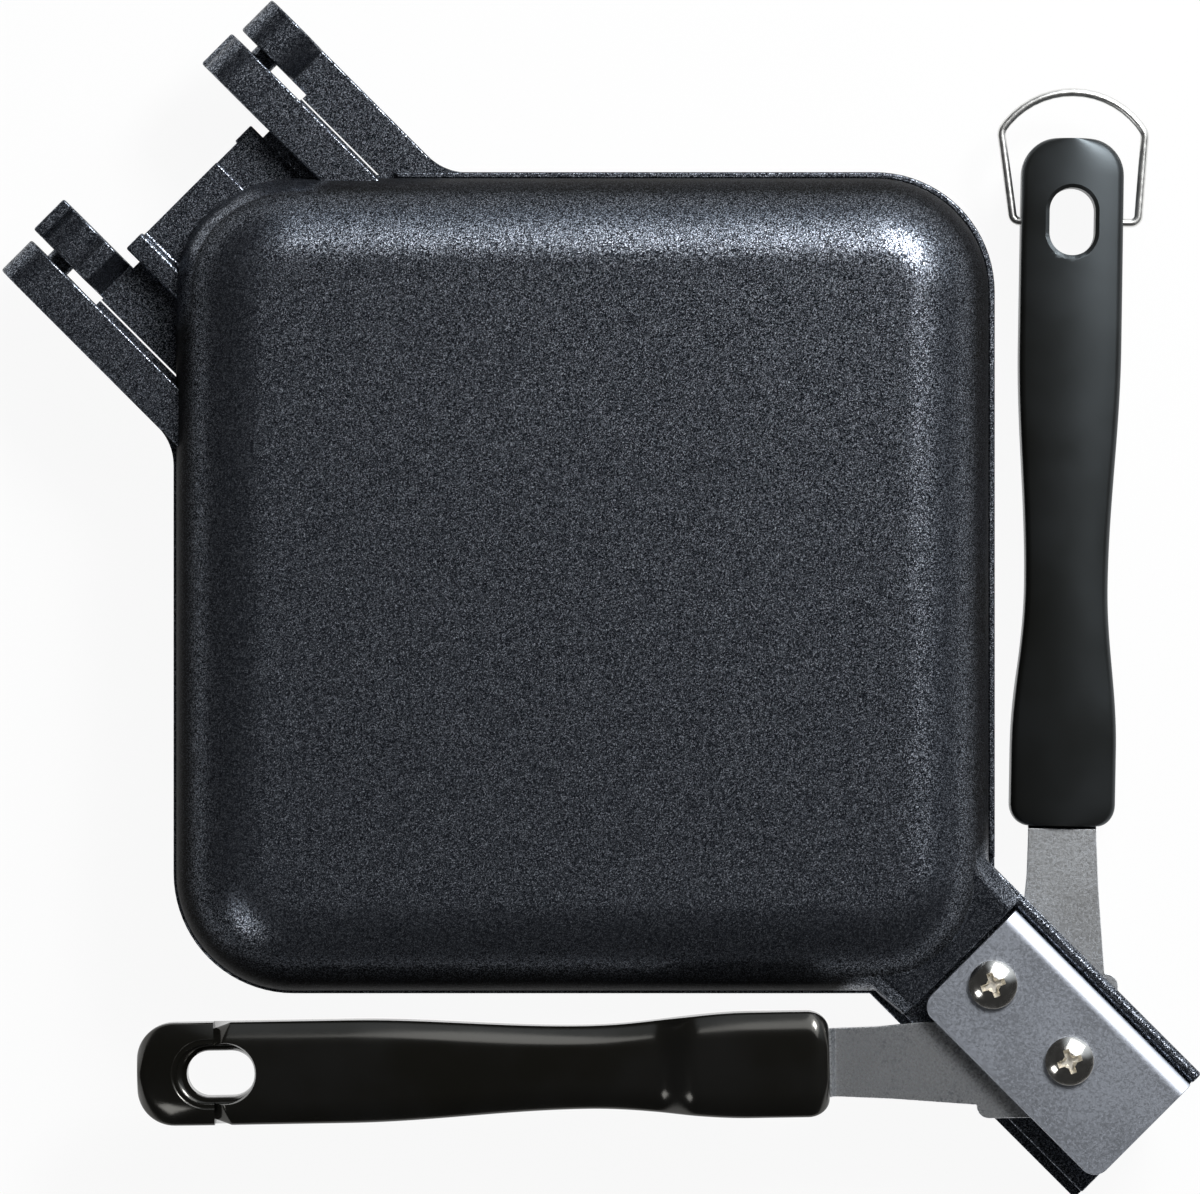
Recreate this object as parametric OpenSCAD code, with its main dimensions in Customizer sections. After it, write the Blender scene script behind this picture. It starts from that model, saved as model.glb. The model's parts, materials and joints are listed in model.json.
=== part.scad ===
// Pie iron: a square hot sandwich maker of two equal pan castings with folding handles.
// One casting is described once, standing on the closing plane with its flat face up.
// The lower pan and all its fittings are the same shapes, turned over about the diagonal
// that runs from the hinge corner to the handle corner.
//
// Frame of the whole part: origin in the middle of the lower pan's flat face, +Z up.
// Diagonal frame of one half: x runs from the middle of the pan to the handle corner,
// y runs across that diagonal, z = 0 is the closing plane.

/* [Pans] */
// Side of the square dish at its rim
dish_w = 147.7; // [130:0.1:170]
// Height of one pan, from the closing plane to its flat face
pan_h = 18; // [17:0.5:26]
// Wall thickness of the casting
pan_wall = 3; // [2:0.1:4]
// Radius of the dish's corners at the rim, seen from above
corner_r = 20.8; // [18:0.1:30]
// Radius of the rolled edge between the dish's wall and its flat face
roll_r = 15.6; // [8:0.1:16]
// Space between the two rims when the pans are closed
rim_gap = 0.2; // [0.1:0.05:0.4]

/* [Lip] */
// How far the lip stands out from the dish's wall
lip_t = 1.15; // [0.9:0.05:1.6]
// How far the lip reaches over the other pan's rim
lip_reach = 1.6; // [1:0.1:2.5]
// Height of the lip on its own wall
lip_back = 3; // [2:0.1:5]
// Clearance between the lip and the other pan's rim
lip_clear = 0.25; // [0.2:0.05:0.4]
// Distance of the lip's end from the diagonal, at the hinge corner
lip_end_hinge = 28.5; // [27.5:0.1:33]
// Distance of the lip's end from the diagonal, at the handle corner
lip_end_lug = 17.6; // [17:0.1:24]

/* [Hinge] */
// Distance of the hinge axis from the rim's corner
hinge_reach = 13.3; // [12.5:0.1:18]
// Radius of the knuckles, which is also the height of the arms
knuckle_r = 6.6; // [5:0.1:7.5]
// Width of each hinge arm
arm_w = 7.8; // [6:0.1:9]
// Space between the two arms of a pair
arm_gap = 1.7; // [1:0.1:2.5]
// Distance of the inner arm from the diagonal
inner_arm_y = 17.65; // [17:0.05:20]
// Diameter of the hinge pins
pin_d = 5; // [4:0.1:6]
// How deep a pin enters the other pan's arm
pin_entry = 6; // [4:0.1:6.5]
// Radius of the fillet between the outer arm and the side of the pan
arm_fillet_r = 10; // [6:0.5:14]
// Thickness of the web between the arms
web_t = 2.6; // [2:0.1:4]
// Distance from the web's edge to the hinge axis
web_setback = 7.35; // [7:0.05:9]
// Reach of the web past the diagonal, on the side of the inner arm
web_reach = 6.9; // [4:0.1:12]
// Distance of the side stop's outer face from the diagonal
block_y = 16; // [14:0.1:16.5]
// Width of the side stop
block_w = 4.1; // [3:0.1:6]
// Height of the side stop
block_h = 5; // [3.5:0.1:6]

/* [Handle lug] */
// Length of the steel plate along the diagonal
plate_l = 45.1; // [42:0.1:60]
// Distance of the raised root's end from the rim's corner
root_reach = 1.2; // [1:0.1:4]
// Height of the raised root
root_h = 9.5; // [8.6:0.1:11]
// Space between the raised root and the steel plate
root_gap = 0.8; // [0.4:0.1:1.5]
// Thickness of the lug's floor
floor_t = 3; // [2.5:0.1:4]
// Distance of the floor's open edge from the diagonal
floor_y = 14.5; // [13:0.1:15]
// Distance of the rib's inner face from the diagonal
rib_y = 13.8; // [13.7:0.05:15]
// Thickness of the rib
rib_t = 2.4; // [2:0.1:3.5]
// Height of the rib above the closing plane
rib_h = 8; // [6:0.1:8.4]

/* [Steel plate] */
// Thickness of the steel plate
plate_t = 1.5; // [1:0.1:2]
// Height of the space that the handle strip turns in
channel_h = 4; // [3.8:0.1:5]
// Distance of the plate's open edge from the diagonal
plate_y0 = 11.4; // [10:0.1:13]
// Distance of the folded flange's outer face from the diagonal
plate_y1 = 13.4; // [13:0.05:13.45]
// Outer radius of the fold
fold_r = 3; // [2.2:0.1:4]
// Radius of the plate's two free corners
plate_corner_r = 3; // [1:0.5:5]

/* [Screws] */
// Thread diameter of the screws
screw_d = 4; // [3:0.5:4.5]
// Diameter of the domed screw heads
head_d = 8.85; // [7:0.05:9.5]
// Height of the screw heads
head_h = 2.5; // [2:0.1:3.5]
// Distance of the fixed screw from the plate's inner edge
fixed_screw_x = 6.6; // [6:0.1:9]
// Distance between the two screws
screw_pitch = 19.7; // [18.5:0.1:23]
// Distance of both screws from the diagonal
screw_y = 0.86; // [0.5:0.02:1]
// Diameter of the boss that the fixed screw goes into
boss_d = 9.2; // [7.5:0.1:10]
// Diameter of the boss that the handle turns on
pivot_d = 8; // [7:0.1:9]

/* [Handle strip] */
// Width of the steel strip where it enters the grip
strip_w = 12.5; // [10:0.1:14]
// Thickness of the steel strip
strip_t = 2; // [1.5:0.1:2.2]
// Radius of the strip's round end about its pivot
strip_eye_r = 8; // [7:0.1:9]
// Distance of the strip's stop from its pivot, across the strip
stop_y = 10.3; // [9:0.1:10.8]
// Length of the strip's tongue inside the grip
tang_l = 62; // [40:1:90]
// Width of the strip's tongue inside the grip
tang_w = 10; // [6:0.5:11]
// Rise of the step in the strip just before the grip
step_rise = 2; // [1:0.1:3]
// Sideways place of the handle's centre line at its pivot
handle_offset = -0.35; // [-1:0.05:0]
// Angle between the folded handle and the side of the pan
fold_tilt = 0.94; // [0:0.02:2]

/* [Grips] */
// Distance of the grip's front from the pivot
grip_x0 = 43.8; // [43:0.1:60]
// Length of a grip
grip_l = 126; // [115:0.5:150]
// Width of the grip at its finger guard
guard_w = 19.2; // [17:0.1:20]
// Width of the grip at its waist
waist_w = 15.1; // [13.5:0.1:18]
// Width of the grip at its end
palm_w = 18.7; // [17:0.1:19]
// Thickness of the grip at its finger guard
guard_t = 15.4; // [14:0.1:17]
// Thickness of the grip at its waist
waist_t = 12.3; // [11.5:0.1:14]
// Thickness of the grip at its end
palm_t = 13.8; // [12:0.1:14]
// Length of the finger guard
guard_l = 24; // [18:0.5:30]
// Distance from the grip's front to its waist
waist_x = 44; // [38:0.5:52]
// Distance from the grip's front to where it is wide again
palm_x = 88; // [70:0.5:105]
// Radius of the grip's outer long edges
edge_r = 4.5; // [3:0.1:5.5]
// Radius of the grip's inner long edges
inner_edge_r = 1.2; // [0.6:0.1:2]
// Space between a grip and the closing plane
grip_lift = 0.3; // [0.2:0.05:0.6]
// Distance of the hanging hole's middle from the grip's end
hang_x = 15.3; // [14:0.1:20]
// Length of the hanging hole
hang_l = 12.4; // [10:0.1:14]
// Width of the hanging hole
hang_w = 8.4; // [7:0.1:9.5]
// Depth of the seat that the bail snaps into
seat_depth = 0.8; // [0.5:0.1:1.2]

/* [Bail] */
// Diameter of the bail's wire
wire_d = 1.6; // [1.4:0.1:2]
// Height of the bail's pivot above the grip's closing side
bail_z = 7; // [6.5:0.1:7.4]
// Distance from the bail's pivot to the middle of its bow
bail_reach = 23.8; // [23.4:0.1:26]
// Distance from the bail's pivot to the bends at the ends of the bow
bail_bend_x = 16.5; // [15:0.1:18]
// Distance of those bends from the middle of the bail
bail_bend_y = 13.2; // [12.8:0.1:15]
// Distance of the inner foot, next to the pan, from the middle of the grip
foot_in = 10.7; // [10.6:0.1:12]
// Distance of the outer foot from the middle of the grip
foot_out = 12.2; // [11:0.1:13.5]
// How deep the bail's ends enter the grip
bail_entry = 4; // [3:0.1:4.2]

/* [Fits] */
// Running clearance round the hinge pins and the pivot bosses, on the radius
run_clear = 0.05; // [0.02:0.01:0.1]
// Clearance round the bail's ends, on the radius
bail_clear = 0.08; // [0.03:0.01:0.1]
// Clearance round the screws in the steel plate, on the radius
plate_clear = 0.15; // [0.1:0.05:0.3]
// Space above and below the strip and the spring
stack_clear = 0.05; // [0.02:0.01:0.1]
// Thickness of the glide washer
washer_t = 0.5; // [0.3:0.1:0.8]

/* [Hidden] */
$fn = 72;
SQRT2 = sqrt(2);

half_gap = rim_gap / 2;
rim_corner = (dish_w / 2 - corner_r) * SQRT2 + corner_r;
deep_root = rim_corner - 10;
arm_root = rim_corner - 28;

hinge_x = rim_corner + hinge_reach;
web_x = hinge_x - web_setback;
slot_depth = 2.8;
slot_x = web_x - slot_depth;
outer_arm_y = inner_arm_y + arm_w + arm_gap;
pin_l = arm_gap + pin_entry;
hub_foot_x = hinge_x - 9.5;
hub_flat_x = hinge_x - 6.1;
hub_h = knuckle_r - 1;
hub_groove_x = hinge_x + 2.9;
hub_groove_w = 2.4;
hub_groove_depth = 2.4;
hub_lip_x = hinge_x + 7.5;
shoulder_w = 1;
shoulder_h = 1.2;
foot_overlap = 0.4;
bore_bottom = 0.4;
block_out = 0.45;
block_bevel = 0.6;

root_x = rim_corner + root_reach;
plate_x0 = root_x + root_gap;
lug_x = plate_x0 + plate_l;
root_top_y0 = 11.9;
root_top_y1 = 12.7;
root_foot_y0 = 14.8;
root_foot_y1 = 15.4;
root_bevel_w = 0.6;
root_bevel_h = 0.9;
plate_z0 = floor_t + channel_h;
plate_z1 = plate_z0 + plate_t;
fixed_x = plate_x0 + fixed_screw_x;
pivot_x = fixed_x + screw_pitch;
thread_floor = 0.8;
head_edge_h = 0.6;
recess_w = 0.95;
recess_l = 4.9;
recess_depth = 1.5;
recess_turn = 8;
recess_core_d = 2.6;
recess_core_depth = 2.2;

strip_z0 = floor_t + washer_t + stack_clear;
strip_z1 = strip_z0 + strip_t;
eye_bore_r = pivot_d / 2 + run_clear;
ring_bore_r = pivot_d / 2 + 0.1;
washer_r = strip_eye_r - 0.5;
spring_r = strip_eye_r - 0.8;
spring_t = 0.5;
stop_r = 2.2;
stop_x = 14.7;
stop_flank_x = 1.5;
shoulder_x = 17;
shoulder_y = 7.8;
swell_x0 = 27;
swell_x1 = 32.4;
swell_x2 = 34.7;
swell_wide = 0.8;
swell_mid = 0.55;
swell_slim = 0.15;
tang_z0 = strip_z0 + step_rise;
step_x = grip_x0 - 1.2;
step_lead = 0.3;
step_lag = 0.4;
strip_end = step_x - step_lag;

grip_x1 = grip_x0 + grip_l;
bail_x = grip_x1 - hang_x;
front_r = 4;
nose_r = 6.8;
nose_flat = 5.4;
nose_drop = 3;
nose_top_r = 4;
guard_flat_l = 14;
crest_r = 3;
guard_slope_l = 7.5;
wire_r = wire_d / 2;
bow_rise = bail_reach - bail_bend_x;
bow_r = (pow(bail_bend_y, 2) + pow(bow_rise, 2)) / (2 * bow_rise);
bow_bend_r = 2.4;
foot_bend_r = 1.4;
bow_wire_r = wire_r - 0.01;
seat_clear = 0.15;
notch_front = 2.6;
notch_back = 0.8;
notch_deep_x = 0.2;
notch_depth = 1.3;
notch_lip = 0.2;
hang_flare = 1.6;
hang_flare_h = 2.8;
hang_chamfer = 0.6;

COATING = [0.15, 0.16, 0.18];
STEEL = [0.55, 0.56, 0.58];
BRIGHT = [0.8, 0.8, 0.82];
PHENOLIC = [0.06, 0.06, 0.065];

// ---------- placing ----------

// The upper half's diagonal frame
module upper_half() translate([0, 0, pan_h]) rotate([0, 0, -45]) children();

// The lower half's diagonal frame: the upper one, turned over about the diagonal
module lower_half() upper_half() rotate([180, 0, 0]) children();

// The folded handle's frame: x along the grip from the pivot, y away from the pan
module at_pivot() {
  translate([pivot_x, screw_y, 0]) rotate([0, 0, fold_tilt - 135]) children();
}

// A side view (x, z) made solid from y0 to y1
module across(y0, y1) {
  translate([0, y1, 0]) rotate([90, 0, 0]) linear_extrude(y1 - y0) children();
}

// An end view (y, z) made solid from x0 to x1
module along(x0, x1) {
  translate([x0, 0, 0]) rotate([90, 0, 90]) linear_extrude(x1 - x0) children();
}

// ---------- pans ----------

module round_square(w, r) {
  square([w, w - 2 * r], center = true);
  square([w - 2 * r, w], center = true);
  for (x = [-1, 1], y = [-1, 1]) {
    translate([x * (w / 2 - r), y * (w / 2 - r)]) circle(r);
  }
}

// Section of the dish's edge, from the corner's centre out to the wall
module edge_section(reach, h, roll) {
  square([reach - roll, h]);
  square([reach, h - roll]);
  translate([reach - roll, h - roll]) intersection() {
    circle(roll);
    square(roll);
  }
}

// A square block with round corners and a rolled top edge
module dish_block(w, h, corner, roll) {
  flat = w / 2 - corner;
  linear_extrude(h) square(2 * flat, center = true);
  for (turn = [0 : 90 : 270]) rotate([0, 0, turn]) {
    translate([flat, 0, 0]) rotate([90, 0, 0]) linear_extrude(2 * flat, center = true) {
      edge_section(corner, h, roll);
    }
    translate([flat, flat, 0]) rotate_extrude(angle = 90) edge_section(corner, h, roll);
  }
}

// The lip runs round two sides of the square, on the side of -y in the diagonal frame
module lip() {
  outer_w = dish_w + 2 * lip_t;
  inner_w = dish_w + 2 * lip_clear;
  far = dish_w * 2;
  intersection() {
    rotate([0, 0, 45]) difference() {
      translate([0, 0, -lip_reach]) linear_extrude(lip_reach + lip_back) {
        round_square(outer_w, corner_r + lip_t);
      }
      translate([0, 0, -lip_reach - 1]) linear_extrude(lip_reach + 1 + half_gap) {
        round_square(inner_w, corner_r + lip_clear);
      }
      linear_extrude(lip_back + 1) round_square(dish_w - pan_wall, corner_r - pan_wall / 2);
    }
    union() {
      translate([-far, -far - lip_end_hinge, -far / 2]) cube([far, far, far]);
      translate([0, -far - lip_end_lug, -far / 2]) cube([far, far, far]);
    }
  }
}

// Side view of a hinge arm: a flat bar and its round knuckle
module arm_side() {
  translate([-hinge_x, 0]) circle(knuckle_r);
  translate([-hinge_x, half_gap]) square([hinge_x - arm_root, knuckle_r - half_gap]);
}

// Side view of the hook-shaped hub on the closing side of the inner arm
module hub_side() {
  polygon([
    [-hub_foot_x, half_gap], [-hub_flat_x, -hub_h],
    [-hub_groove_x, -hub_h], [-hub_groove_x, hub_groove_depth - hub_h],
    [-hub_groove_x - hub_groove_w, hub_groove_depth - hub_h],
    [-hub_groove_x - hub_groove_w, 0.4 - hub_h],
    [-hub_lip_x, 0.4 - hub_h], [-hub_lip_x, -1], [-hub_lip_x + 1.6, half_gap]
  ]);
}

module inner_arm() {
  across(inner_arm_y, inner_arm_y + arm_w) {
    arm_side();
    hub_side();
  }
  // The arm's foot on the closing plane
  translate([-slot_x, block_y - 0.1, half_gap]) {
    cube([slot_x - arm_root, inner_arm_y + arm_w + foot_overlap - block_y + 0.1, web_t - half_gap]);
  }
  // Hinge pin, cast in one with the arm
  translate([-hinge_x, inner_arm_y + arm_w - 1, 0]) rotate([-90, 0, 0]) {
    cylinder(d = pin_d, h = pin_l + 1);
  }
}

// The fillet where the outer arm runs into the side of the pan
module arm_fillet() {
  side_x = dish_w / 2 + lip_t;
  edge_y = -(outer_arm_y + arm_w);
  centre = [-(side_x + arm_fillet_r) * SQRT2 - edge_y + arm_fillet_r, edge_y - arm_fillet_r];
  side_touch = centre + [1, 1] * arm_fillet_r / SQRT2;
  translate([0, 0, half_gap]) linear_extrude(lip_back - half_gap) difference() {
    polygon([
      [centre.x, edge_y], [centre.x, edge_y + 2],
      side_touch + [3, 3], side_touch
    ]);
    translate(centre) circle(arm_fillet_r);
  }
}

module outer_arm() {
  across(-outer_arm_y - arm_w, -outer_arm_y) arm_side();
  translate([-slot_x, -outer_arm_y - 1, half_gap]) {
    cube([slot_x - arm_root, 1 + shoulder_w, shoulder_h - half_gap]);
  }
  arm_fillet();
}

module web() {
  translate([-web_x, -block_y, half_gap]) {
    cube([web_x - deep_root, block_y + web_reach, web_t - half_gap]);
  }
  // Side stop: keeps the pans from sliding apart until they are opened
  along(-web_x - block_out, -deep_root) polygon([
    [-block_y, half_gap], [-block_y, block_h],
    [-block_y + block_w - block_bevel, block_h],
    [-block_y + block_w, block_h - block_bevel],
    [-block_y + block_w, half_gap]
  ]);
}

module lug() {
  // Floor that the handle strip turns on
  translate([deep_root, -floor_y, half_gap]) {
    cube([lug_x - deep_root, floor_y + rib_y + rib_t, floor_t - half_gap]);
  }
  // Raised root with sloping sides
  along(deep_root, root_x) polygon([
    [-root_foot_y0, half_gap], [-root_top_y0 - root_bevel_w, root_h - root_bevel_h],
    [-root_top_y0, root_h], [root_top_y1, root_h],
    [root_top_y1 + root_bevel_w, root_h - root_bevel_h], [root_foot_y1, half_gap]
  ]);
  // Rib beside the plate's flange, with a round top
  along(root_x - 1, lug_x) {
    translate([rib_y, half_gap]) square([rib_t, rib_h - rib_t / 2 - half_gap]);
    translate([rib_y + rib_t / 2, rib_h - rib_t / 2]) circle(rib_t / 2);
  }
  translate([fixed_x, screw_y, floor_t - 1]) cylinder(d = boss_d, h = plate_z0 - floor_t + 1);
  translate([pivot_x, screw_y, floor_t - 1]) cylinder(d = pivot_d, h = plate_z0 - floor_t + 1);
}

module pan() {
  cavity_w = dish_w - 2 * pan_wall;
  color(COATING) difference() {
    union() {
      translate([0, 0, half_gap]) rotate([0, 0, 45]) {
        dish_block(dish_w, pan_h - half_gap, corner_r, roll_r);
      }
      lip();
      inner_arm();
      outer_arm();
      web();
      lug();
    }
    translate([0, 0, half_gap - 1]) rotate([0, 0, 45]) {
      dish_block(cavity_w, pan_h - pan_wall + 1 - half_gap, corner_r - pan_wall,
                 roll_r - pan_wall);
    }
    // Blind bore for the other pan's hinge pin
    translate([-hinge_x, -outer_arm_y - pin_entry - bore_bottom, 0]) rotate([-90, 0, 0]) {
      cylinder(r = pin_d / 2 + run_clear, h = pin_entry + bore_bottom + 1);
    }
    // Screw holes in the bosses
    for (x = [fixed_x, pivot_x]) translate([x, screw_y, thread_floor - 0.2]) {
      cylinder(r = screw_d / 2 + run_clear, h = plate_z0);
    }
  }
}

// ---------- lug fittings ----------

// End view of the steel plate with its folded flange
module plate_section() {
  fold_y = plate_y1 - fold_r;
  fold_z = plate_z1 - fold_r;
  translate([-plate_y0, plate_z0]) square([plate_y0 + fold_y, plate_t]);
  translate([plate_y1 - plate_t, floor_t + stack_clear]) {
    square([plate_t, fold_z - floor_t - stack_clear]);
  }
  translate([fold_y, fold_z]) intersection() {
    difference() {
      circle(fold_r);
      circle(fold_r - plate_t);
    }
    square(fold_r);
  }
}

// Seen from above, with the two free corners rounded
module plate_outline() {
  r = plate_corner_r;
  translate([plate_x0, r - plate_y0]) square([plate_l, plate_y0 + plate_y1 - r]);
  translate([plate_x0 + r, -plate_y0]) square([plate_l - 2 * r, r + 1]);
  for (x = [plate_x0 + r, lug_x - r]) translate([x, r - plate_y0]) circle(r);
}

module bracket() {
  color(STEEL) difference() {
    intersection() {
      along(plate_x0, lug_x) plate_section();
      linear_extrude(plate_z1 + 1) plate_outline();
    }
    for (x = [fixed_x, pivot_x]) translate([x, screw_y, 0]) {
      cylinder(r = screw_d / 2 + plate_clear, h = plate_z1 + 1);
    }
  }
}

// Domed screw with a cross recess, its head on the steel plate
module screw(x) {
  dome_h = head_h - head_edge_h;
  dome_r = (pow(head_d / 2, 2) + pow(dome_h, 2)) / (2 * dome_h);
  head_top = plate_z1 + head_h;
  color(BRIGHT) translate([x, screw_y, 0]) difference() {
    union() {
      translate([0, 0, thread_floor]) cylinder(d = screw_d, h = plate_z1 - thread_floor + 0.1);
      translate([0, 0, plate_z1]) intersection() {
        cylinder(d = head_d, h = head_h);
        translate([0, 0, head_h - dome_r]) sphere(dome_r);
      }
    }
    for (turn = [0, 90]) rotate([0, 0, turn + recess_turn]) {
      translate([-recess_l / 2, -recess_w / 2, head_top - recess_depth]) {
        cube([recess_l, recess_w, recess_depth + 1]);
      }
    }
    translate([0, 0, head_top - recess_core_depth]) {
      cylinder(d1 = 1, d2 = recess_core_d, h = recess_core_depth + 0.1);
    }
  }
}

module glide_washer() {
  color(BRIGHT) translate([pivot_x, screw_y, floor_t]) difference() {
    cylinder(r = washer_r, h = washer_t);
    translate([0, 0, -1]) cylinder(r = ring_bore_r, h = washer_t + 2);
  }
}

// A cone-shaped disc spring that presses the strip down
module disc_spring() {
  low = strip_z1 + stack_clear;
  high = plate_z0 - stack_clear;
  t = spring_t;
  color(BRIGHT) translate([pivot_x, screw_y, 0]) rotate_extrude() polygon([
    [ring_bore_r, high - t], [ring_bore_r, high], [ring_bore_r + t, high],
    [spring_r, low + t], [spring_r, low], [spring_r - t, low]
  ]);
}

// ---------- handles ----------

// Points of an arc from angle a0 to angle a1, about step degrees apart
function arc(centre, r, a0, a1, step = 5) =
  let (steps = ceil(abs(a1 - a0) / step), turn = (a1 - a0) / steps)
  [for (k = [0 : steps]) centre + r * [cos(a0 + k * turn), sin(a0 + k * turn)]];

// Seen from above, in the handle's own frame
module strip_outline() {
  y0 = handle_offset - strip_w / 2;
  y1 = handle_offset + strip_w / 2;
  swell = [swell_x0, y0 - swell_wide];
  flank = 128;
  // The strip's straight edge leaves its round end at a tangent
  leave = 360 + atan2(swell.y, swell.x) - acos(strip_eye_r / norm(swell));
  polygon(concat(
    arc([0, 0], strip_eye_r, flank, leave),
    [swell, [swell_x2, y0 - swell_slim], [strip_end, y0], [strip_end, y1]],
    [[swell_x1, y1 + swell_mid], [shoulder_x, shoulder_y]],
    arc([stop_x, stop_y - stop_r], stop_r, 0, 90),
    [[stop_flank_x, stop_y]]
  ));
}

// Side view of the step in the strip and its tongue
module tang_side() {
  polygon([
    [strip_end, strip_z0], [step_x + step_lead, strip_z0],
    [grip_x0 + step_lead, tang_z0], [grip_x0 + tang_l, tang_z0],
    [grip_x0 + tang_l, tang_z0 + strip_t], [grip_x0 - step_lag, tang_z0 + strip_t],
    [strip_end, strip_z1]
  ]);
}

// The bent part of the strip, with its narrower tongue
module tang() {
  wide_end = grip_x0 + 0.6;
  intersection() {
    across(handle_offset - strip_w / 2, handle_offset + strip_w / 2) tang_side();
    union() {
      translate([0, -strip_w, 0]) cube([wide_end, 2 * strip_w, grip_l]);
      translate([0, handle_offset - tang_w / 2, 0]) cube([grip_x1, tang_w, grip_l]);
    }
  }
}

module strip() {
  color(STEEL) at_pivot() difference() {
    union() {
      translate([0, 0, strip_z0]) linear_extrude(strip_t) strip_outline();
      tang();
    }
    translate([0, 0, strip_z0 - 1]) cylinder(r = eye_bore_r, h = strip_t + 2);
  }
}

// Goes from a to b in a smooth bend as t goes from 0 to 1
function ease(a, b, t) = a + (b - a) * (1 - cos(180 * min(max(t, 0), 1))) / 2;

// How much of its full size a round end has reached, d inside an end of radius r
function rounding(d, r) = sqrt(1 - pow(max(0, 1 - d / r), 2));

function body_half_w(d) = d < waist_x
  ? ease(guard_w / 2, waist_w / 2, (d - guard_flat_l) / (waist_x - guard_flat_l))
  : ease(waist_w / 2, palm_w / 2, (d - waist_x) / (palm_x - waist_x));

// Half the grip's width, d behind its front
function half_w(d) =
  let (front = strip_w / 2, nose = nose_flat / 2, full = body_half_w(d))
  d < front_r ? front + (full - front) * rounding(d, front_r)
  : d > grip_l - nose_r ? nose + (full - nose) * rounding(grip_l - d, nose_r)
  : full;

// Height of the grip's outer face, d behind its front
function crest(d) =
  let (
    guard_end = guard_l + guard_slope_l,
    body = d < guard_end ? ease(guard_t, waist_t, (d - guard_l) / guard_slope_l)
         : ease(waist_t, palm_t, (d - guard_end) / (palm_x - guard_end)),
    past_seat = max(0, d - (grip_l - hang_x)),
    sloped = body - nose_drop * pow(past_seat / hang_x, 2),
    front = crest_r * (1 - rounding(d, crest_r)),
    nose = nose_top_r * (1 - rounding(grip_l - d, nose_top_r))
  )
  grip_lift + sloped - front - nose;

// One cross section of the grip as a ring of points
function grip_ring(d) =
  let (
    w = half_w(d), top = crest(d), x = grip_x0 + d,
    r = min(edge_r, w * 0.9, top - grip_lift - inner_edge_r - 0.5),
    b = inner_edge_r
  )
  [
    for (a = [-90, -45, 0]) [x, w - b + b * cos(a), grip_lift + b + b * sin(a)],
    for (a = [0 : 22.5 : 90]) [x, w - r + r * cos(a), top - r + r * sin(a)],
    for (a = [90 : 22.5 : 180]) [x, -w + r + r * cos(a), top - r + r * sin(a)],
    for (a = [180, 225, 270]) [x, -w + b + b * cos(a), grip_lift + b + b * sin(a)]
  ];

GRIP_STEPS = 30;
grip_stations = [
  for (a = [0 : 18 : 89]) front_r * (1 - cos(a)),
  for (k = [0 : GRIP_STEPS]) front_r + k * (grip_l - front_r - nose_r) / GRIP_STEPS,
  for (a = [15 : 15 : 90]) grip_l - nose_r * (1 - sin(a))
];

// A closed solid through rings of points, which all have the same count
module skin(rings) {
  n = len(rings[0]);
  last = len(rings) - 1;
  points = [for (ring = rings) each ring];
  sides = [
    for (i = [0 : last - 1], j = [0 : n - 1])
      let (a = i * n + j, b = i * n + (j + 1) % n, c = b + n, d = a + n)
      each [[a, d, c], [a, c, b]]
  ];
  front = [for (j = [0 : n - 1]) j];
  back = [for (j = [n - 1 : -1 : 0]) last * n + j];
  polyhedron(points = points, faces = concat(sides, [front, back]));
}

// Outline of the hanging hole, grown by an amount
module hang_outline(grow) {
  r = hang_w / 2 + grow;
  reach = (hang_l - hang_w) / 2;
  for (x = [-reach, reach]) translate([x, 0]) circle(r);
  square([2 * reach, 2 * r], center = true);
}

// Hanging hole with a flared mouth on the outer face and a small one on the closing side
module hang_cut() {
  mouth_z = grip_lift + palm_t - hang_flare_h + 0.2;
  translate([0, 0, -1]) linear_extrude(palm_t + 5) hang_outline(0);
  hull() {
    translate([0, 0, mouth_z]) linear_extrude(0.01) hang_outline(0);
    translate([0, 0, mouth_z + hang_flare_h]) linear_extrude(1) hang_outline(hang_flare);
  }
  hull() {
    translate([0, 0, grip_lift + hang_chamfer]) linear_extrude(0.01) hang_outline(0);
    translate([0, 0, grip_lift - 0.5]) linear_extrude(0.5) hang_outline(hang_chamfer);
  }
}

module grip() {
  difference() {
    translate([0, handle_offset, 0]) skin([for (d = grip_stations) grip_ring(d)]);
    tang();
    translate([bail_x, handle_offset, 0]) hang_cut();
    children();
  }
}

// Seat for the bail: a groove across the outer face and a notch in each edge
module bail_seat() {
  seat_z = grip_lift + palm_t;
  groove_r = wire_r + seat_clear;
  translate([bail_x, handle_offset, 0]) {
    translate([0, -palm_w, seat_z - seat_depth + groove_r]) rotate([-90, 0, 0]) {
      cylinder(r = groove_r, h = 2 * palm_w);
    }
    for (side = [0, 1]) mirror([0, side, 0]) {
      translate([0, palm_w / 2, bail_z]) linear_extrude(palm_t) polygon([
        [-notch_front, notch_lip], [notch_deep_x, -notch_depth],
        [notch_back, notch_lip], [notch_back, 1], [-notch_front, 1]
      ]);
    }
  }
}

// Blind bores for the bail's two ends
module bail_bores() {
  translate([bail_x, handle_offset, bail_z]) for (side = [0, 180]) rotate([side, 0, 0]) {
    translate([0, palm_w / 2 - bail_entry - bore_bottom, 0]) rotate([-90, 0, 0]) {
      cylinder(r = wire_r + bail_clear, h = bail_entry + 2);
    }
  }
}

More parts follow.
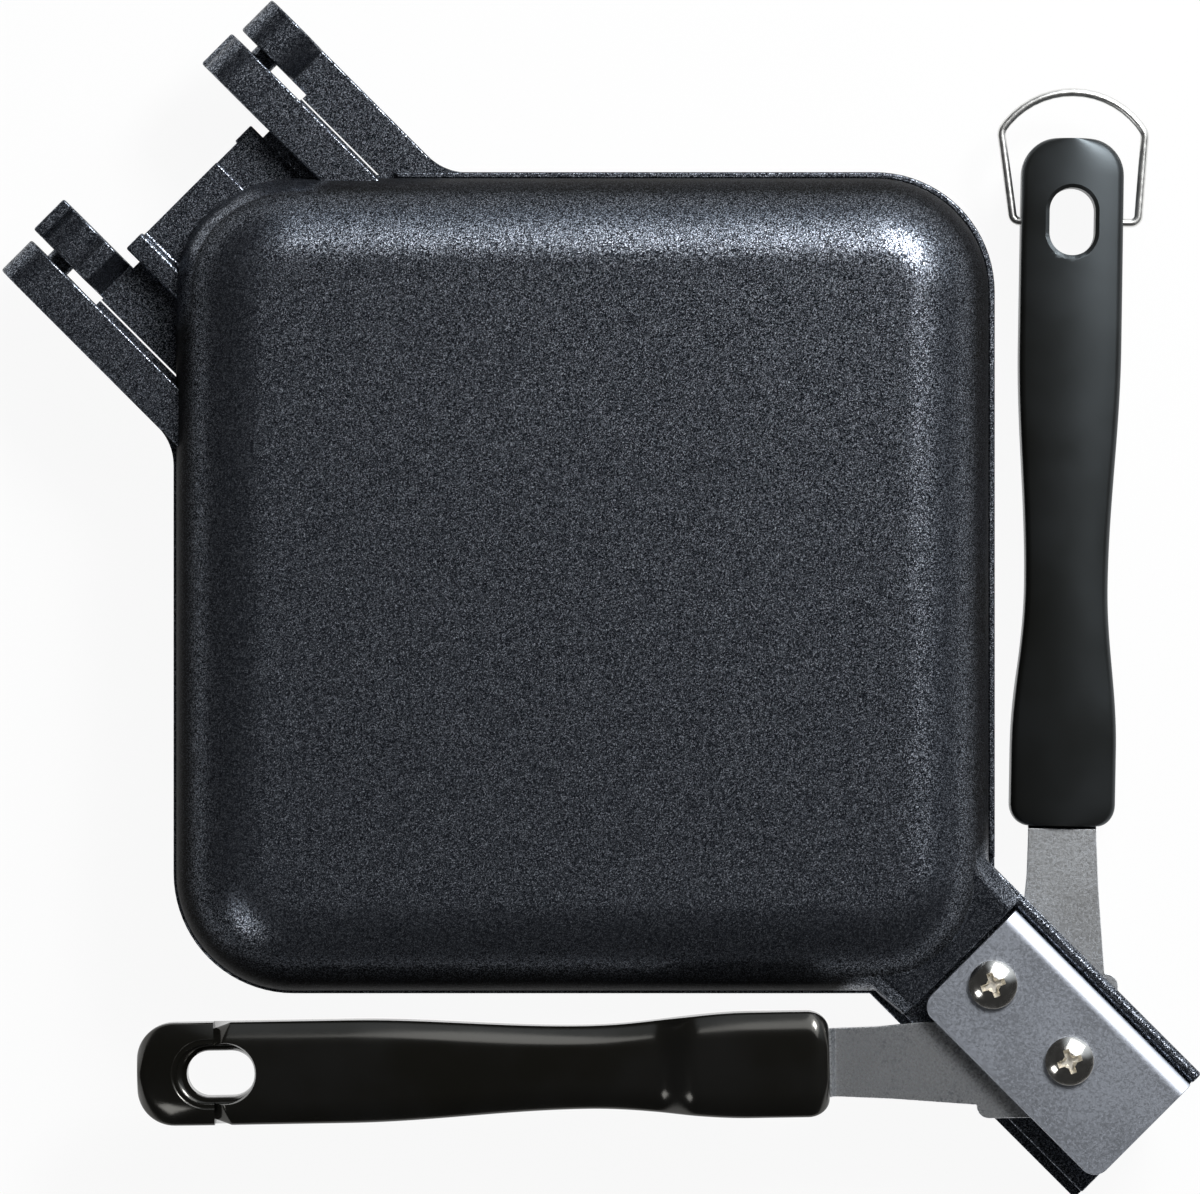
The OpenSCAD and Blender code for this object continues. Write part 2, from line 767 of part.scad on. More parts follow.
// The wire's route from the end of a pin at foot_y to the middle of the bow.
// The pin runs along y, then the leg goes from its foot to the end of the bow.
function bail_route(foot_y) =
  let (
    leg = [bail_bend_x, bail_bend_y - foot_y],
    u = leg / norm(leg),
    inward = [u.y, -u.x],
    leg_turn = atan2(u.y, u.x),
    bow = [bail_reach - bow_r, 0],
    // Middle of the bend that touches both the leg and the bow
    w = [0, foot_y] + inward * bow_bend_r - bow,
    along = sqrt(pow(w * u, 2) - w * w + pow(bow_r - bow_bend_r, 2)) - w * u,
    bend = [0, foot_y] + inward * bow_bend_r + u * along,
    bow_end = atan2(bend.y - bow.y, bend.x - bow.x)
  )
  concat(
    [[0, pin_end(foot_y) - 0.3]],
    arc([foot_bend_r, pin_end(foot_y)], foot_bend_r, 180, leg_turn + 90, 10),
    arc(bend, bow_bend_r, leg_turn + 90, bow_end, 10),
    arc(bow, bow_r, bow_end - 6, 0, 7)
  );

// Where the straight pin goes over into the bend of its foot
function pin_end(foot_y) =
  foot_y - foot_bend_r * tan((90 - atan2(bail_bend_y - foot_y, bail_bend_x)) / 2);

// The bail lies in the plane of the grip's middle, past its end
module bail() {
  end_y = palm_w / 2 - bail_entry;
  far = bail_route(foot_out);
  near = bail_route(foot_in);
  path = concat(far, [for (k = [len(near) - 2 : -1 : 0]) [near[k].x, -near[k].y]]);
  last = len(path) - 1;
  color(BRIGHT) at_pivot() translate([bail_x, handle_offset, bail_z]) {
    skin([
      for (k = [0 : last])
        let (step = path[min(k + 1, last)] - path[max(k - 1, 0)], side = [-step.y, step.x] / norm(step))
        [for (a = [0 : 24 : 359]) [
          path[k].x + side.x * bow_wire_r * cos(a),
          path[k].y + side.y * bow_wire_r * cos(a),
          bow_wire_r * sin(a)
        ]]
    ]);
    translate([0, end_y, 0]) rotate([-90, 0, 0]) cylinder(r = wire_r, h = pin_end(foot_out) - end_y);
    translate([0, -end_y, 0]) rotate([90, 0, 0]) cylinder(r = wire_r, h = pin_end(foot_in) - end_y);
  }
}

module upper_grip() color(PHENOLIC) at_pivot() grip() bail_seat();
module lower_grip() color(PHENOLIC) at_pivot() grip() bail_bores();

upper_half() pan();  // upper_pan
lower_half() pan();  // lower_pan
upper_half() bracket();  // upper_bracket
lower_half() bracket();  // lower_bracket
upper_half() screw(fixed_x);  // upper_bracket_screw
lower_half() screw(fixed_x);  // lower_bracket_screw
upper_half() screw(pivot_x);  // upper_pivot_screw
lower_half() screw(pivot_x);  // lower_pivot_screw
upper_half() glide_washer();  // upper_glide_washer
lower_half() glide_washer();  // lower_glide_washer
upper_half() disc_spring();  // upper_disc_spring
lower_half() disc_spring();  // lower_disc_spring
upper_half() strip();  // upper_strip
lower_half() strip();  // lower_strip
upper_half() upper_grip();
lower_half() lower_grip();
lower_half() bail();  // locking_bail
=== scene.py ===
"""Looks of a square pie iron: two coated cast pans, folding handles with black grips, a bail."""
import json
from math import acos, asin, atan2, cos, degrees, hypot, pi, radians, sin, sqrt, tan

import bmesh
import bpy
from mathutils import Matrix, Vector


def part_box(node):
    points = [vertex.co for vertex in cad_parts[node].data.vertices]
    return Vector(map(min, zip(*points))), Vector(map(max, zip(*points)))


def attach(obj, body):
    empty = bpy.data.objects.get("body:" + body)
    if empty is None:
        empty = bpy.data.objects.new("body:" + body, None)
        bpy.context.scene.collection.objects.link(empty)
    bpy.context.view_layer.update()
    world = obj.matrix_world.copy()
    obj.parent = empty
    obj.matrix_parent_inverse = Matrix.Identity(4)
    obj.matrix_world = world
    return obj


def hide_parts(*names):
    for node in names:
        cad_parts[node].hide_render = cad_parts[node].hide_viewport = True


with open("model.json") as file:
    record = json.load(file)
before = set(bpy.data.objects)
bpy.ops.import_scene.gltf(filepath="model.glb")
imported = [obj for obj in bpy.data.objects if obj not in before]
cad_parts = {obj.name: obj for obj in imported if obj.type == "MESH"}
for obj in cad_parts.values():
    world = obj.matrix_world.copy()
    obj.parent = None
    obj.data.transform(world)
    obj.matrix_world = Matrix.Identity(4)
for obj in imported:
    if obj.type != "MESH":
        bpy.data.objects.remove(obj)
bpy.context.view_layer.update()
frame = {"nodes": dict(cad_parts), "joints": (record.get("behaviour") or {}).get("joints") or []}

MM = 0.001
JOINTS = {joint["name"]: joint for joint in frame["joints"]}
CLOSING_Z = JOINTS["pan_hinge"]["pos_m"][2]
HALVES = ("upper", "lower")


# ---------- camera and lamps ----------

# The picture: its width in pixels, its scale, and the point that it has in its middle
PHOTO_W = 1200
PX_PER_M = 5470.0
FRAME_MIDDLE = (0.00287, -0.00263)
CAMERA_HEIGHT = 2.3
SENSOR = 36.0


def make_camera():
    """The camera looks straight down, with +Y up in the picture."""
    data = bpy.data.cameras.new("camera")
    data.sensor_width = SENSOR
    data.lens = SENSOR * CAMERA_HEIGHT / (PHOTO_W / PX_PER_M)
    data.clip_start = 0.1
    data.clip_end = 20.0
    camera = bpy.data.objects.new("camera", data)
    camera.location = (FRAME_MIDDLE[0], FRAME_MIDDLE[1], CLOSING_Z + CAMERA_HEIGHT)
    bpy.context.scene.collection.objects.link(camera)
    bpy.context.scene.camera = camera


def softbox(name, place, size, watts):
    """A square lamp that faces the middle of the iron."""
    data = bpy.data.lights.new(name, "AREA")
    data.size = size
    data.energy = watts
    lamp = bpy.data.objects.new(name, data)
    lamp.location = place
    lamp.rotation_mode = "QUATERNION"
    lamp.rotation_quaternion = (-Vector(place)).to_track_quat("-Z", "Y")
    lamp.visible_camera = False
    bpy.context.scene.collection.objects.link(lamp)


# ---------- nodes as expressions ----------

class Wire:
    """An output socket that takes part in expressions, each operator as one Math node."""

    def __init__(self, nodes, socket):
        self.nodes = nodes
        self.socket = socket

    def _math(self, operation, *values):
        settings = {"operation": operation}
        return self.nodes.add("ShaderNodeMath", settings, dict(enumerate(values)))

    def __add__(self, other):
        return self._math("ADD", self, other)

    def __sub__(self, other):
        return self._math("SUBTRACT", self, other)

    def __rsub__(self, other):
        return self._math("SUBTRACT", other, self)

    def __mul__(self, other):
        return self._math("MULTIPLY", self, other)

    def __abs__(self):
        return self._math("ABSOLUTE", self)

    def __lt__(self, other):
        return self._math("LESS_THAN", self, other)

    def __gt__(self, other):
        return self._math("GREATER_THAN", self, other)

    __radd__ = __add__
    __rmul__ = __mul__

    def spread(self, low, high, to_low=0.0, to_high=1.0):
        """Maps low..high to to_low..to_high, clamped, with a soft start and end."""
        settings = {"interpolation_type": "SMOOTHSTEP"}
        values = {"Value": self, "From Min": low, "From Max": high,
                  "To Min": to_low, "To Max": to_high}
        return self.nodes.add("ShaderNodeMapRange", settings, values, "Result")


class Nodes:
    """A node tree that grows by one method."""

    def __init__(self, tree):
        self.tree = tree

    def add(self, kind, settings=None, values=None, output=0):
        """Adds a node: its settings are set first, then its sockets get their values or links."""
        node = self.tree.nodes.new(kind)
        for key, value in (settings or {}).items():
            setattr(node, key, value)
        for key, value in (values or {}).items():
            if isinstance(value, (Wire, list)):
                for wire in value if isinstance(value, list) else [value]:
                    self.tree.links.new(wire.socket, node.inputs[key])
            else:
                node.inputs[key].default_value = value
        return Wire(self, node.outputs[output]) if node.outputs else node


class Finish(Nodes):
    """One procedural material or world."""

    def __init__(self, name, owner=None):
        self.data = owner or bpy.data.materials.new(name)
        self.data.use_nodes = True
        super().__init__(self.data.node_tree)
        self.tree.nodes.clear()
        self.place = self.add("ShaderNodeTexCoord", output="Object")

    def noise(self, size, detail=2.0, roughness=0.5, vector=None):
        """Noise from 0 to 1 whose lumps are about size metres wide."""
        values = {"Vector": vector or self.place, "Scale": 1.0 / size,
                  "Detail": detail, "Roughness": roughness}
        return self.add("ShaderNodeTexNoise", values=values)

    def grains(self, size):
        """A random colour for each grain, grains being about size metres wide."""
        values = {"Vector": self.place, "Scale": 1.0 / size}
        return self.add("ShaderNodeTexVoronoi", {"feature": "F1"}, values, "Color")

    def part(self, vector, axis):
        """One axis of a vector or colour."""
        return self.add("ShaderNodeSeparateXYZ", values={0: vector}, output=axis)

    def vector(self, operation, values, output=0):
        """The result of one Vector Math node."""
        return self.add("ShaderNodeVectorMath", {"operation": operation}, values, output)

    def tilted(self, grains, amount):
        """The surface's normal, turned a little another way in each grain."""
        centred = self.vector("SUBTRACT", {0: grains, 1: (0.5, 0.5, 0.5)})
        turn = self.vector("SCALE", {0: centred, "Scale": amount})
        normal = self.add("ShaderNodeNewGeometry", output="Normal")
        return self.vector("NORMALIZE", {0: self.vector("ADD", {0: normal, 1: turn})})

    def mix(self, factor, first, second):
        """A colour between first, at factor 0, and second, at factor 1."""
        values = {0: factor, 6: first, 7: second}
        return self.add("ShaderNodeMix", {"data_type": "RGBA"}, values, 2)

    def bump(self, height, depth, strength=1.0):
        """A normal from a height of 0 to 1 that stands for depth metres."""
        values = {"Height": height, "Distance": depth, "Strength": strength}
        return self.add("ShaderNodeBump", values=values, output="Normal")

    def end(self, kind, shader):
        """Links the shader to the tree's output."""
        self.add(kind, values={"Surface": shader})
        return self.data

    def surface(self, values):
        """Ends the material in a Principled shader with these socket values."""
        shader = self.add("ShaderNodeBsdfPrincipled", values=values)
        return self.end("ShaderNodeOutputMaterial", shader)


class Recipe(Nodes):
    """A Geometry Nodes tree with named sizes."""

    def __init__(self, name, sizes):
        super().__init__(bpy.data.node_groups.new(name, "GeometryNodeTree"))
        self.sizes = sizes
        interface = self.tree.interface
        for way in ("INPUT", "OUTPUT"):
            interface.new_socket("Geometry", in_out=way, socket_type="NodeSocketGeometry")
        for label in sizes:
            interface.new_socket(label, in_out="INPUT", socket_type="NodeSocketFloat")
        self.inputs = self.tree.nodes.new("NodeGroupInput")

    def given(self, label):
        """The wire of a named input."""
        return Wire(self, self.inputs.outputs[label])

    def end(self, geometry, material, kept=None, crease=40.0):
        """Ends the tree in real geometry, smooth with sharp creases, and in one material.

        What has the kept material already keeps it.
        """
        angle = self.add("GeometryNodeInputMeshEdgeAngle")
        sharp = self.add("FunctionNodeCompare", {"operation": "GREATER_THAN"},
                         {0: angle, 1: radians(crease)})
        real = self.add("GeometryNodeRealizeInstances", values={"Geometry": geometry})
        smooth = self.add("GeometryNodeSetShadeSmooth", {"domain": "FACE"}, {"Geometry": real})
        creased = self.add("GeometryNodeSetShadeSmooth", {"domain": "EDGE"},
                           {"Geometry": smooth, "Selection": sharp, "Shade Smooth": False})
        values = {"Geometry": creased, "Material": material}
        if kept:
            has_kept = self.add("GeometryNodeMaterialSelection", values={"Material": kept})
            values["Selection"] = self.add("FunctionNodeBooleanMath", {"operation": "NOT"},
                                           {0: has_kept})
        done = self.add("GeometryNodeSetMaterial", values=values)
        self.add("NodeGroupOutput", values={"Geometry": done})

    def made_on(self, base, name, place):
        """The tree's result on a base object, as a plain mesh in its place."""
        modifier = base.modifiers.new(name, "NODES")
        modifier.node_group = self.tree
        for item in self.tree.interface.items_tree:
            if item.name in self.sizes:
                modifier[item.identifier] = self.sizes[item.name]
        done = applied(base, name)
        done.data.transform(place)
        return done


def rgb(red, green, blue):
    return (red, green, blue, 1.0)


def grey(level):
    return (level, level, level, 1.0)


# ---------- finishes ----------

# The coating's flakes, in metres: their width, how far a face turns up before they show (steeper
# faces get painted shade instead), and the lugs, where they always show: how far out along the
# diagonal, and how far from the closing plane
FLAKE_W = 0.00014
PAINTED_SHADE_TO_FLAKES_UP = (0.50, 0.92)
LUG_OUT = (0.119, 0.124)
LUG_UP = (0.0106, 0.0116)


def make_pan_coating():
    """Charcoal non-stick coating with silver flakes. The flakes show on faces that turn up and all
    over the lugs; steeper faces get a darker brownish colour without flakes, which is painted shade.
    """
    m = Finish("pan_coating")
    grains = m.grains(FLAKE_W)
    normal = m.add("ShaderNodeTexCoord", output="Normal")
    # Painted shade: flakes show only on faces that turn up, and steep faces lose them
    level = abs(m.part(normal, "Z")).spread(*PAINTED_SHADE_TO_FLAKES_UP)
    out = abs(m.part(m.place, "X") - m.part(m.place, "Y")).spread(*LUG_OUT)
    lug = out * (1.0 - abs(m.part(m.place, "Z") - CLOSING_Z).spread(*LUG_UP))
    flakes_else_painted_shade = level + lug * (1.0 - level)
    fleck = m.part(grains, "X").spread(0.30, 0.90) * (flakes_else_painted_shade * 0.92 + 0.08)
    cloud = m.noise(0.03, 3.0).spread(0.3, 0.7)
    # Painted shade: faces without flakes get the darker brownish colour, and up-facing faces the
    # bluish one
    smooth = m.mix(flakes_else_painted_shade, rgb(0.0045, 0.0040, 0.0033), rgb(0.0062, 0.0070, 0.0094))
    base = m.mix(cloud * 0.35, smooth, rgb(0.0080, 0.0088, 0.0115))
    bright = m.part(grains, "Y").spread(0.3, 1.0)
    silver = m.mix(bright, rgb(0.11, 0.127, 0.155), rgb(0.50, 0.540, 0.615))
    return m.surface({
        "Base Color": m.mix(fleck, base, silver),
        "Roughness": fleck.spread(0.0, 0.8, 0.40, 0.30),
        "Metallic": fleck.spread(0.0, 0.6, 0.0, 1.0),
        "IOR": 1.05,
        "Normal": m.tilted(grains, 0.16),
    })


def make_satin(name, dark, pale, roughness, relief, along=None):
    """Satin steel: specks, a tumbled grain in slight relief, faint clouds, and brushing.

    along scales the brushing's axes, where it has any, so that its streaks are long in one.
    """
    m = Finish(name)
    tumble = m.noise(0.0006, 4.0, 0.65)
    fine = m.noise(0.00018, 2.0, 0.6)
    cloud = m.noise(0.012, 2.0)
    speck = m.part(m.grains(0.00028), "X")
    tone = speck * 0.45 + tumble.spread(0.35, 0.65) * 0.35 + cloud.spread(0.3, 0.7) * 0.2
    if along:
        stretched = m.add("ShaderNodeMapping", values={"Vector": m.place, "Scale": along})
        tone = tone * 0.75 + m.noise(0.0005, 2.0, 0.5, stretched) * 0.25
    return m.surface({
        "Base Color": m.mix(tone, rgb(*dark), rgb(*pale)),
        "Metallic": 1.0,
        "Roughness": tone.spread(0.2, 0.8, roughness + 0.05, roughness - 0.05),
        "Normal": m.bump(fine * 0.5 + tumble * 0.5, 0.00002, relief),
    })


def make_bright_metal(name, tone, roughness):
    """Bright plated or drawn metal with faint hazing."""
    m = Finish(name)
    haze = m.noise(0.0012, 3.0)
    dull_tone = [channel * 0.92 for channel in tone]
    return m.surface({
        "Base Color": m.mix(haze.spread(0.3, 0.7), rgb(*dull_tone), rgb(*tone)),
        "Metallic": 1.0,
        "Roughness": haze.spread(0.3, 0.7, roughness, roughness + 0.08),
        "Normal": m.bump(m.noise(0.0005, 2.0), 0.000006, 0.4),
    })


RESIN_DEEP = rgb(0.0050, 0.0047, 0.0036)
RESIN_PALE = rgb(0.0070, 0.0069, 0.0064)


def make_grip_resin(name, low, high, texture, sheen):
    """Black moulded phenolic: roughness from low to high, moulded texture, a tinted sheen."""
    m = Finish(name)
    cloud = m.noise(0.016, 3.0)
    speck = m.part(m.grains(0.0003), "X")
    return m.surface({
        "Base Color": m.mix(cloud.spread(0.3, 0.7), RESIN_DEEP, RESIN_PALE),
        "Roughness": cloud.spread(0.25, 0.75, low, high),
        "IOR": 1.58,
        "Specular Tint": rgb(*sheen),
        "Normal": m.bump(m.noise(0.004, 2.0) * 0.9 + speck * 0.1, 0.00002, texture),
    })


# ---------- outlines ----------

def clamped(t):
    """t, but not under 0 or over 1."""
    return min(max(t, 0.0), 1.0)


def arc(x, y, radius, start, end, steps=6):
    """Points of an arc about (x, y), its angles in degrees."""
    turns = [radians(start + (end - start) * k / steps) for k in range(steps + 1)]
    return [(x + radius * cos(turn), y + radius * sin(turn)) for turn in turns]


def circle(x, y, radius, count=48):
    """Points of a whole circle about (x, y)."""
    return arc(x, y, radius, 0, 360 - 360 / count, count - 1)


def rounded(corners, radius, steps=4):
    """A closed outline with its corners rounded. radius is one number, or one for each corner.

    A rounding takes 45% of a side at most.
    """
    outline = []
    count = len(corners)
    radii = radius if isinstance(radius, (list, tuple)) else [radius] * count
    for k in range(count):
        here = Vector(corners[k])
        back = Vector(corners[k - 1]) - here
        ahead = Vector(corners[(k + 1) % count]) - here
        opening = back.angle(ahead)
        reach = min(radii[k] / tan(opening / 2), back.length * 0.45, ahead.length * 0.45)
        if reach < 1e-6 or abs(opening - pi) < 1e-3:
            outline.append(tuple(here))
            continue
        size = reach * tan(opening / 2)
        first = here + back.normalized() * reach
        last = here + ahead.normalized() * reach
        inward = (back.normalized() + ahead.normalized()).normalized()
        middle = here + inward * (size / sin(opening / 2))
        for step in range(steps + 1):
            toward = (first - middle).lerp(last - middle, step / steps)
            outline.append(tuple(middle + toward.normalized() * size))
    return outline


def inset(outline, amount):
    """A closed outline moved inward by amount, each corner along its mitre."""
    count = len(outline)
    pairs = [(outline[k - 1], outline[k]) for k in range(count)]
    area = sum(first[0] * second[1] - first[1] * second[0] for first, second in pairs)
    side = 1.0 if area > 0 else -1.0
    moved = []
    for k in range(count):
        here = Vector(outline[k])
        back = (here - Vector(outline[k - 1])).normalized()
        ahead = (Vector(outline[(k + 1) % count]) - here).normalized()
        first = Vector((-back.y, back.x)) * side
        second = Vector((-ahead.y, ahead.x)) * side
        mitre = amount / (1.0 + max(-0.5, first.dot(second)))
        moved.append(tuple(here + (first + second) * mitre))
    return moved


# ---------- solids in a half's own frame, in millimetres ----------

PLANES = {
    "xy": lambda u, v, w: (u, v, w),
    "xz": lambda u, v, w: (u, w, v),
    "yz": lambda u, v, w: (w, u, v),
}
# How far a cutter goes past what it cuts
PAST = 1.0
# How near to each other points are taken as one
MERGE = 0.0005


def added(name, mesh):
    """A new object in the scene, with this mesh."""
    piece = bpy.data.objects.new(name, mesh)
    bpy.context.scene.collection.objects.link(piece)
    return piece


def skin(rings):
    """A closed solid through rings of points with equal counts, with flat ends."""
    work = bmesh.new()
    loops = [[work.verts.new(point) for point in ring] for ring in rings]
    for first, second in zip(loops, loops[1:]):
        for k in range(len(first)):
            work.faces.new((first[k], first[k - 1], second[k - 1], second[k]))
    work.faces.new(loops[0])
    work.faces.new(loops[-1])
    bmesh.ops.recalc_face_normals(work, faces=work.faces)
    mesh = bpy.data.meshes.new("solid")
    work.to_mesh(mesh)
    work.free()
    return added("solid", mesh)


def prism(plane, outline, low, high, ease=0.3, steps=3):
    """An outline made solid from low to high, with the rims of its two ends rounded by ease."""
    place = PLANES[plane]
    if ease <= 0:
        return skin([[place(u, v, w) for u, v in outline] for w in (low, high)])
    turns = [radians(90 * k / steps) for k in range(steps + 1)]
    rims = [(ease * (1 - sin(t)), ease * (1 - cos(t))) for t in turns]
    sections = [(inset(outline, side), low + rise) for side, rise in rims]
    sections += [(inset(outline, side), high - rise) for side, rise in reversed(rims)]
    return skin([[place(u, v, w) for u, v in points] for points, w in sections])


def box(x0, x1, y0, y1, z0, z1):
    """A plain block."""
    return prism("xy", [(x0, y0), (x1, y0), (x1, y1), (x0, y1)], z0, z1, 0)


def applied(piece, name):
    """A new object with the piece's modifiers applied. The old one is deleted."""
    bpy.context.view_layer.update()
    evaluated = piece.evaluated_get(bpy.context.evaluated_depsgraph_get())
    mesh = bpy.data.meshes.new_from_object(evaluated)
    bpy.data.objects.remove(piece)
    mesh.name = name
    return added(name, mesh)


def joined(solids, cuts=()):
    """Unites the solids and takes the cuts away, as one closed solid."""
    base = solids[0]
    steps = [(other, "UNION") for other in solids[1:]] + [(cut, "DIFFERENCE") for cut in cuts]
    for other, operation in steps:
        step = base.modifiers.new(operation, "BOOLEAN")
        step.solver = "MANIFOLD"
        step.operation = operation
        step.object = other
    done = applied(base, "solid")
    for other, _ in steps:
        bpy.data.objects.remove(other)
    return done


def finished(solid, name, place, material, smooth_angle=35.0):
    """Puts a solid in its place, in one material, with smooth roundings and flat faces."""
    work = bmesh.new()
    work.from_mesh(solid.data)
    bmesh.ops.remove_doubles(work, verts=work.verts, dist=MERGE)
    bmesh.ops.recalc_face_normals(work, faces=work.faces)
    limit = radians(smooth_angle)
    for face in work.faces:
        face.smooth = True
        face.material_index = 0
    for edge in work.edges:
        edge.smooth = len(edge.link_faces) == 2 and edge.calc_face_angle(0.0) < limit
    work.to_mesh(solid.data)
    work.free()
    weighting = solid.modifiers.new("flat faces stay flat", "WEIGHTED_NORMAL")
    weighting.keep_sharp = True
    done = applied(solid, name)
    done.data.transform(place)
    done.data.materials.clear()
    done.data.materials.append(material)
    return done


def twin(piece, name, move, material=None):
    """A copy of a finished piece in another place, in its own material where one is given."""
    mesh = piece.data.copy()
    mesh.name = name
    mesh.transform(move)
    if material:
        mesh.materials[0] = material
    return added(name, mesh)


def settle(piece, body, slot, *nodes):
    """The piece rides on its body and stands for its CAD nodes."""
    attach(piece, body)
    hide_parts(*nodes)


# ---------- frames ----------

# A folded handle is turned back from the diagonal by FOLD_TURN, less a small tilt
FOLD_TURN = 135.0
FOLD_TILT = 0.94
SQRT2 = sqrt(2)


def half_place(half):
    """From a half's diagonal frame in millimetres to the part's frame in metres."""
    turn = Matrix.Rotation(radians(-45), 4, "Z")
    if half == "lower":
        turn = turn @ Matrix.Rotation(pi, 4, "X")
    return Matrix.Translation((0, 0, CLOSING_Z)) @ turn @ Matrix.Scale(MM, 4)


PIVOT = half_place("upper").inverted() @ Vector(JOINTS["upper_handle_fold"]["pos_m"])
PIVOT.z = 0.0
UPPER_TO_LOWER = half_place("lower") @ half_place("upper").inverted()


def handle_place(half):
    """From a folded handle's frame in millimetres to the part's frame in metres."""
    fold = Matrix.Rotation(radians(FOLD_TILT - FOLD_TURN), 4, "Z")
    return half_place(half) @ Matrix.Translation(PIVOT) @ fold


# ---------- pans ----------
# x runs from the middle of the pan to the handle's corner, and z = 0 is the closing plane

DISH_W = 147.7
PAN_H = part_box("upper_pan")[1].z / MM - CLOSING_Z / MM
WALL = 3.0
CORNER_R = 20.8
ROLL_R = 15.6
RIM_CORNER = (DISH_W / 2 - CORNER_R) * SQRT2 + CORNER_R
RIM_EASE = 0.4
HALF_GAP = 0.1
# The dish is wider above its lip by this much, and blends to the other sides over this width
LIP_SIDE_SWELL = 0.7
SWELL_BLEND = 12.0

LIP_T = 1.15
LIP_REACH = 1.6
LIP_BACK = 3.0
LIP_CLEAR = 0.25
LIP_EDGE = 0.35
LIP_END_HINGE = 28.5
LIP_END_LUG = 17.6

HINGE_X = RIM_CORNER + 13.3
KNUCKLE_R = 6.6
ARM_W = 7.8
ARM_GAP = 1.7
ARM_EDGE = 0.4
ARM_ROOT = RIM_CORNER - 28.0
INNER_ARM_Y = 17.65
INNER_ARM_END = INNER_ARM_Y + ARM_W
OUTER_ARM_Y = INNER_ARM_END + ARM_GAP
OUTER_ARM_END = OUTER_ARM_Y + ARM_W
OUTER_FOOT_T = 1.2
ARM_FILLET_R = 10.0
PIN_R = 2.5
PIN_ENTRY = 6.0
PIN_CLEAR = 0.05

WEB_T = 2.6
WEB_X = HINGE_X - 7.35
WEB_REACH = 6.9
WEB_EDGE = 0.35
SLOT_X = WEB_X - 2.8
BLOCK_Y = 16.0
BLOCK_W = 4.1
BLOCK_H = 5.0
BLOCK_STEP = 0.45

ROOT_X = RIM_CORNER + 1.2
ROOT_H = 9.5
DEEP_ROOT = RIM_CORNER - 10.0
# The raised root's section: each pair is its y on the lip's side and on the rib's side
ROOT_FOOT = (-14.8, 15.5)
ROOT_SIDE = (-14.4, 15.4)
ROOT_TOP = (-12.0, 12.6)
ROOT_BEVEL_H = (2.2, 2.3)
# How much higher and wider the root is inside the dish's corner
ROOT_RISE = 2.6
ROOT_SPREAD = 1.06

PLATE_X0 = ROOT_X + 0.8
PLATE_L = 45.1
LUG_X = PLATE_X0 + PLATE_L
LUG_EDGE = 0.35
LUG_FILLET_R = 5.0
FLOOR_T = 3.0
FLOOR_Y = 14.5
RIB_Y = 13.8
RIB_T = 2.4
RIB_END = RIB_Y + RIB_T
RIB_H = 6.6
CHANNEL_H = 4.0
FIXED_X = PLATE_X0 + 6.6
FIXED_BOSS_R = 4.6
PIVOT_BOSS_R = 4.0
SCREW_Y = PIVOT.y


def dish_ring(inward, z, swell=0.0, steps=20):
    """The dish's rounded square, moved inward from its rim, and wider by swell above its lip."""
    flat = DISH_W / 2 - CORNER_R
    ring = []
    for quarter in range(4):
        turn = 90 * quarter
        middle = Matrix.Rotation(radians(turn), 2) @ Vector((flat, flat))
        for x, y in arc(middle.x, middle.y, CORNER_R - inward, turn, turn + 90, steps):
            away = Vector((x, y)) - middle
            lip_side = clamped(0.5 - (x + y) / SQRT2 / SWELL_BLEND)
            x, y = Vector((x, y)) + away.normalized() * swell * lip_side
            ring.append(((x - y) / SQRT2, (x + y) / SQRT2, z))
    return ring


def roll(inward, top, radius, steps=22):
    """The dish's rolled edge in section, from its flat face down to its wall."""
    turns = [radians(90 * k / steps) for k in range(steps + 1)]
    return [(inward + radius - radius * sin(t), top - radius + radius * cos(t)) for t in turns]


def inner_roll():
    """The same edge on the inside, from the wall up to the flat face."""
    return roll(WALL, PAN_H - WALL, ROLL_R - WALL)[::-1]


def make_dish():
    """The dish as one shell: its outer face, its rim and its inner face."""
    face = ROLL_R + 1.5
    rim_z = HALF_GAP + RIM_EASE
    profile = [(face, PAN_H)] + roll(0.0, PAN_H, ROLL_R)
    profile += arc(RIM_EASE, rim_z, RIM_EASE, 180, 270, 3)
    profile += arc(WALL - RIM_EASE, rim_z, RIM_EASE, 270, 360, 3)
    profile += inner_roll() + [(face, PAN_H - WALL)]
    return skin([dish_ring(inward, z, LIP_SIDE_SWELL * min(1.0, (PAN_H - z) / PAN_H * 2))
                 for inward, z in profile])


def make_hollow(past=0.01):
    """Cutter for the dish's inside, where the arms and the lug reach into it."""
    profile = [(WALL + past, -3.0), (WALL + past, PAN_H - ROLL_R)]
    profile += inner_roll()[1:-1] + [(ROLL_R - past, PAN_H - WALL - past)]
    return skin([dish_ring(inward, z) for inward, z in profile])


def make_lip():
    """The lip over the other pan's rim on two sides, and its run-out and fillet at the lug."""
    far = 2 * DISH_W
    tall = 9.0

    def outline(outward):
        return [point[:2] for point in dish_ring(-outward, 0.0)]

    lip = joined(
        [prism("xy", outline(LIP_T), -LIP_REACH, LIP_BACK, LIP_EDGE)],
        [prism("xy", outline(LIP_CLEAR), -LIP_REACH - PAST, HALF_GAP, 0),
         prism("xy", outline(-WALL / 2), -PAST, LIP_BACK + PAST, 0),
         box(-far, 0, -LIP_END_HINGE, far, -tall, tall),
         box(-PAST, far, -LIP_END_LUG, far, -tall, tall)],
    )
    run_out = joined(
        [prism("xy", outline(LIP_T), HALF_GAP, LIP_BACK, LIP_EDGE)],
        [prism("xy", outline(-WALL / 2), -PAST, LIP_BACK + PAST, 0),
         box(-far, 0, -far, far, -tall, tall),
         box(0, far, PAST - FLOOR_Y, far, -tall, tall),
         box(0, far, -far, -LIP_END_LUG - PAST, -tall, tall)],
    )
    return [lip, run_out, prism("xy", lug_fillet(), HALF_GAP, FLOOR_T, 0)]


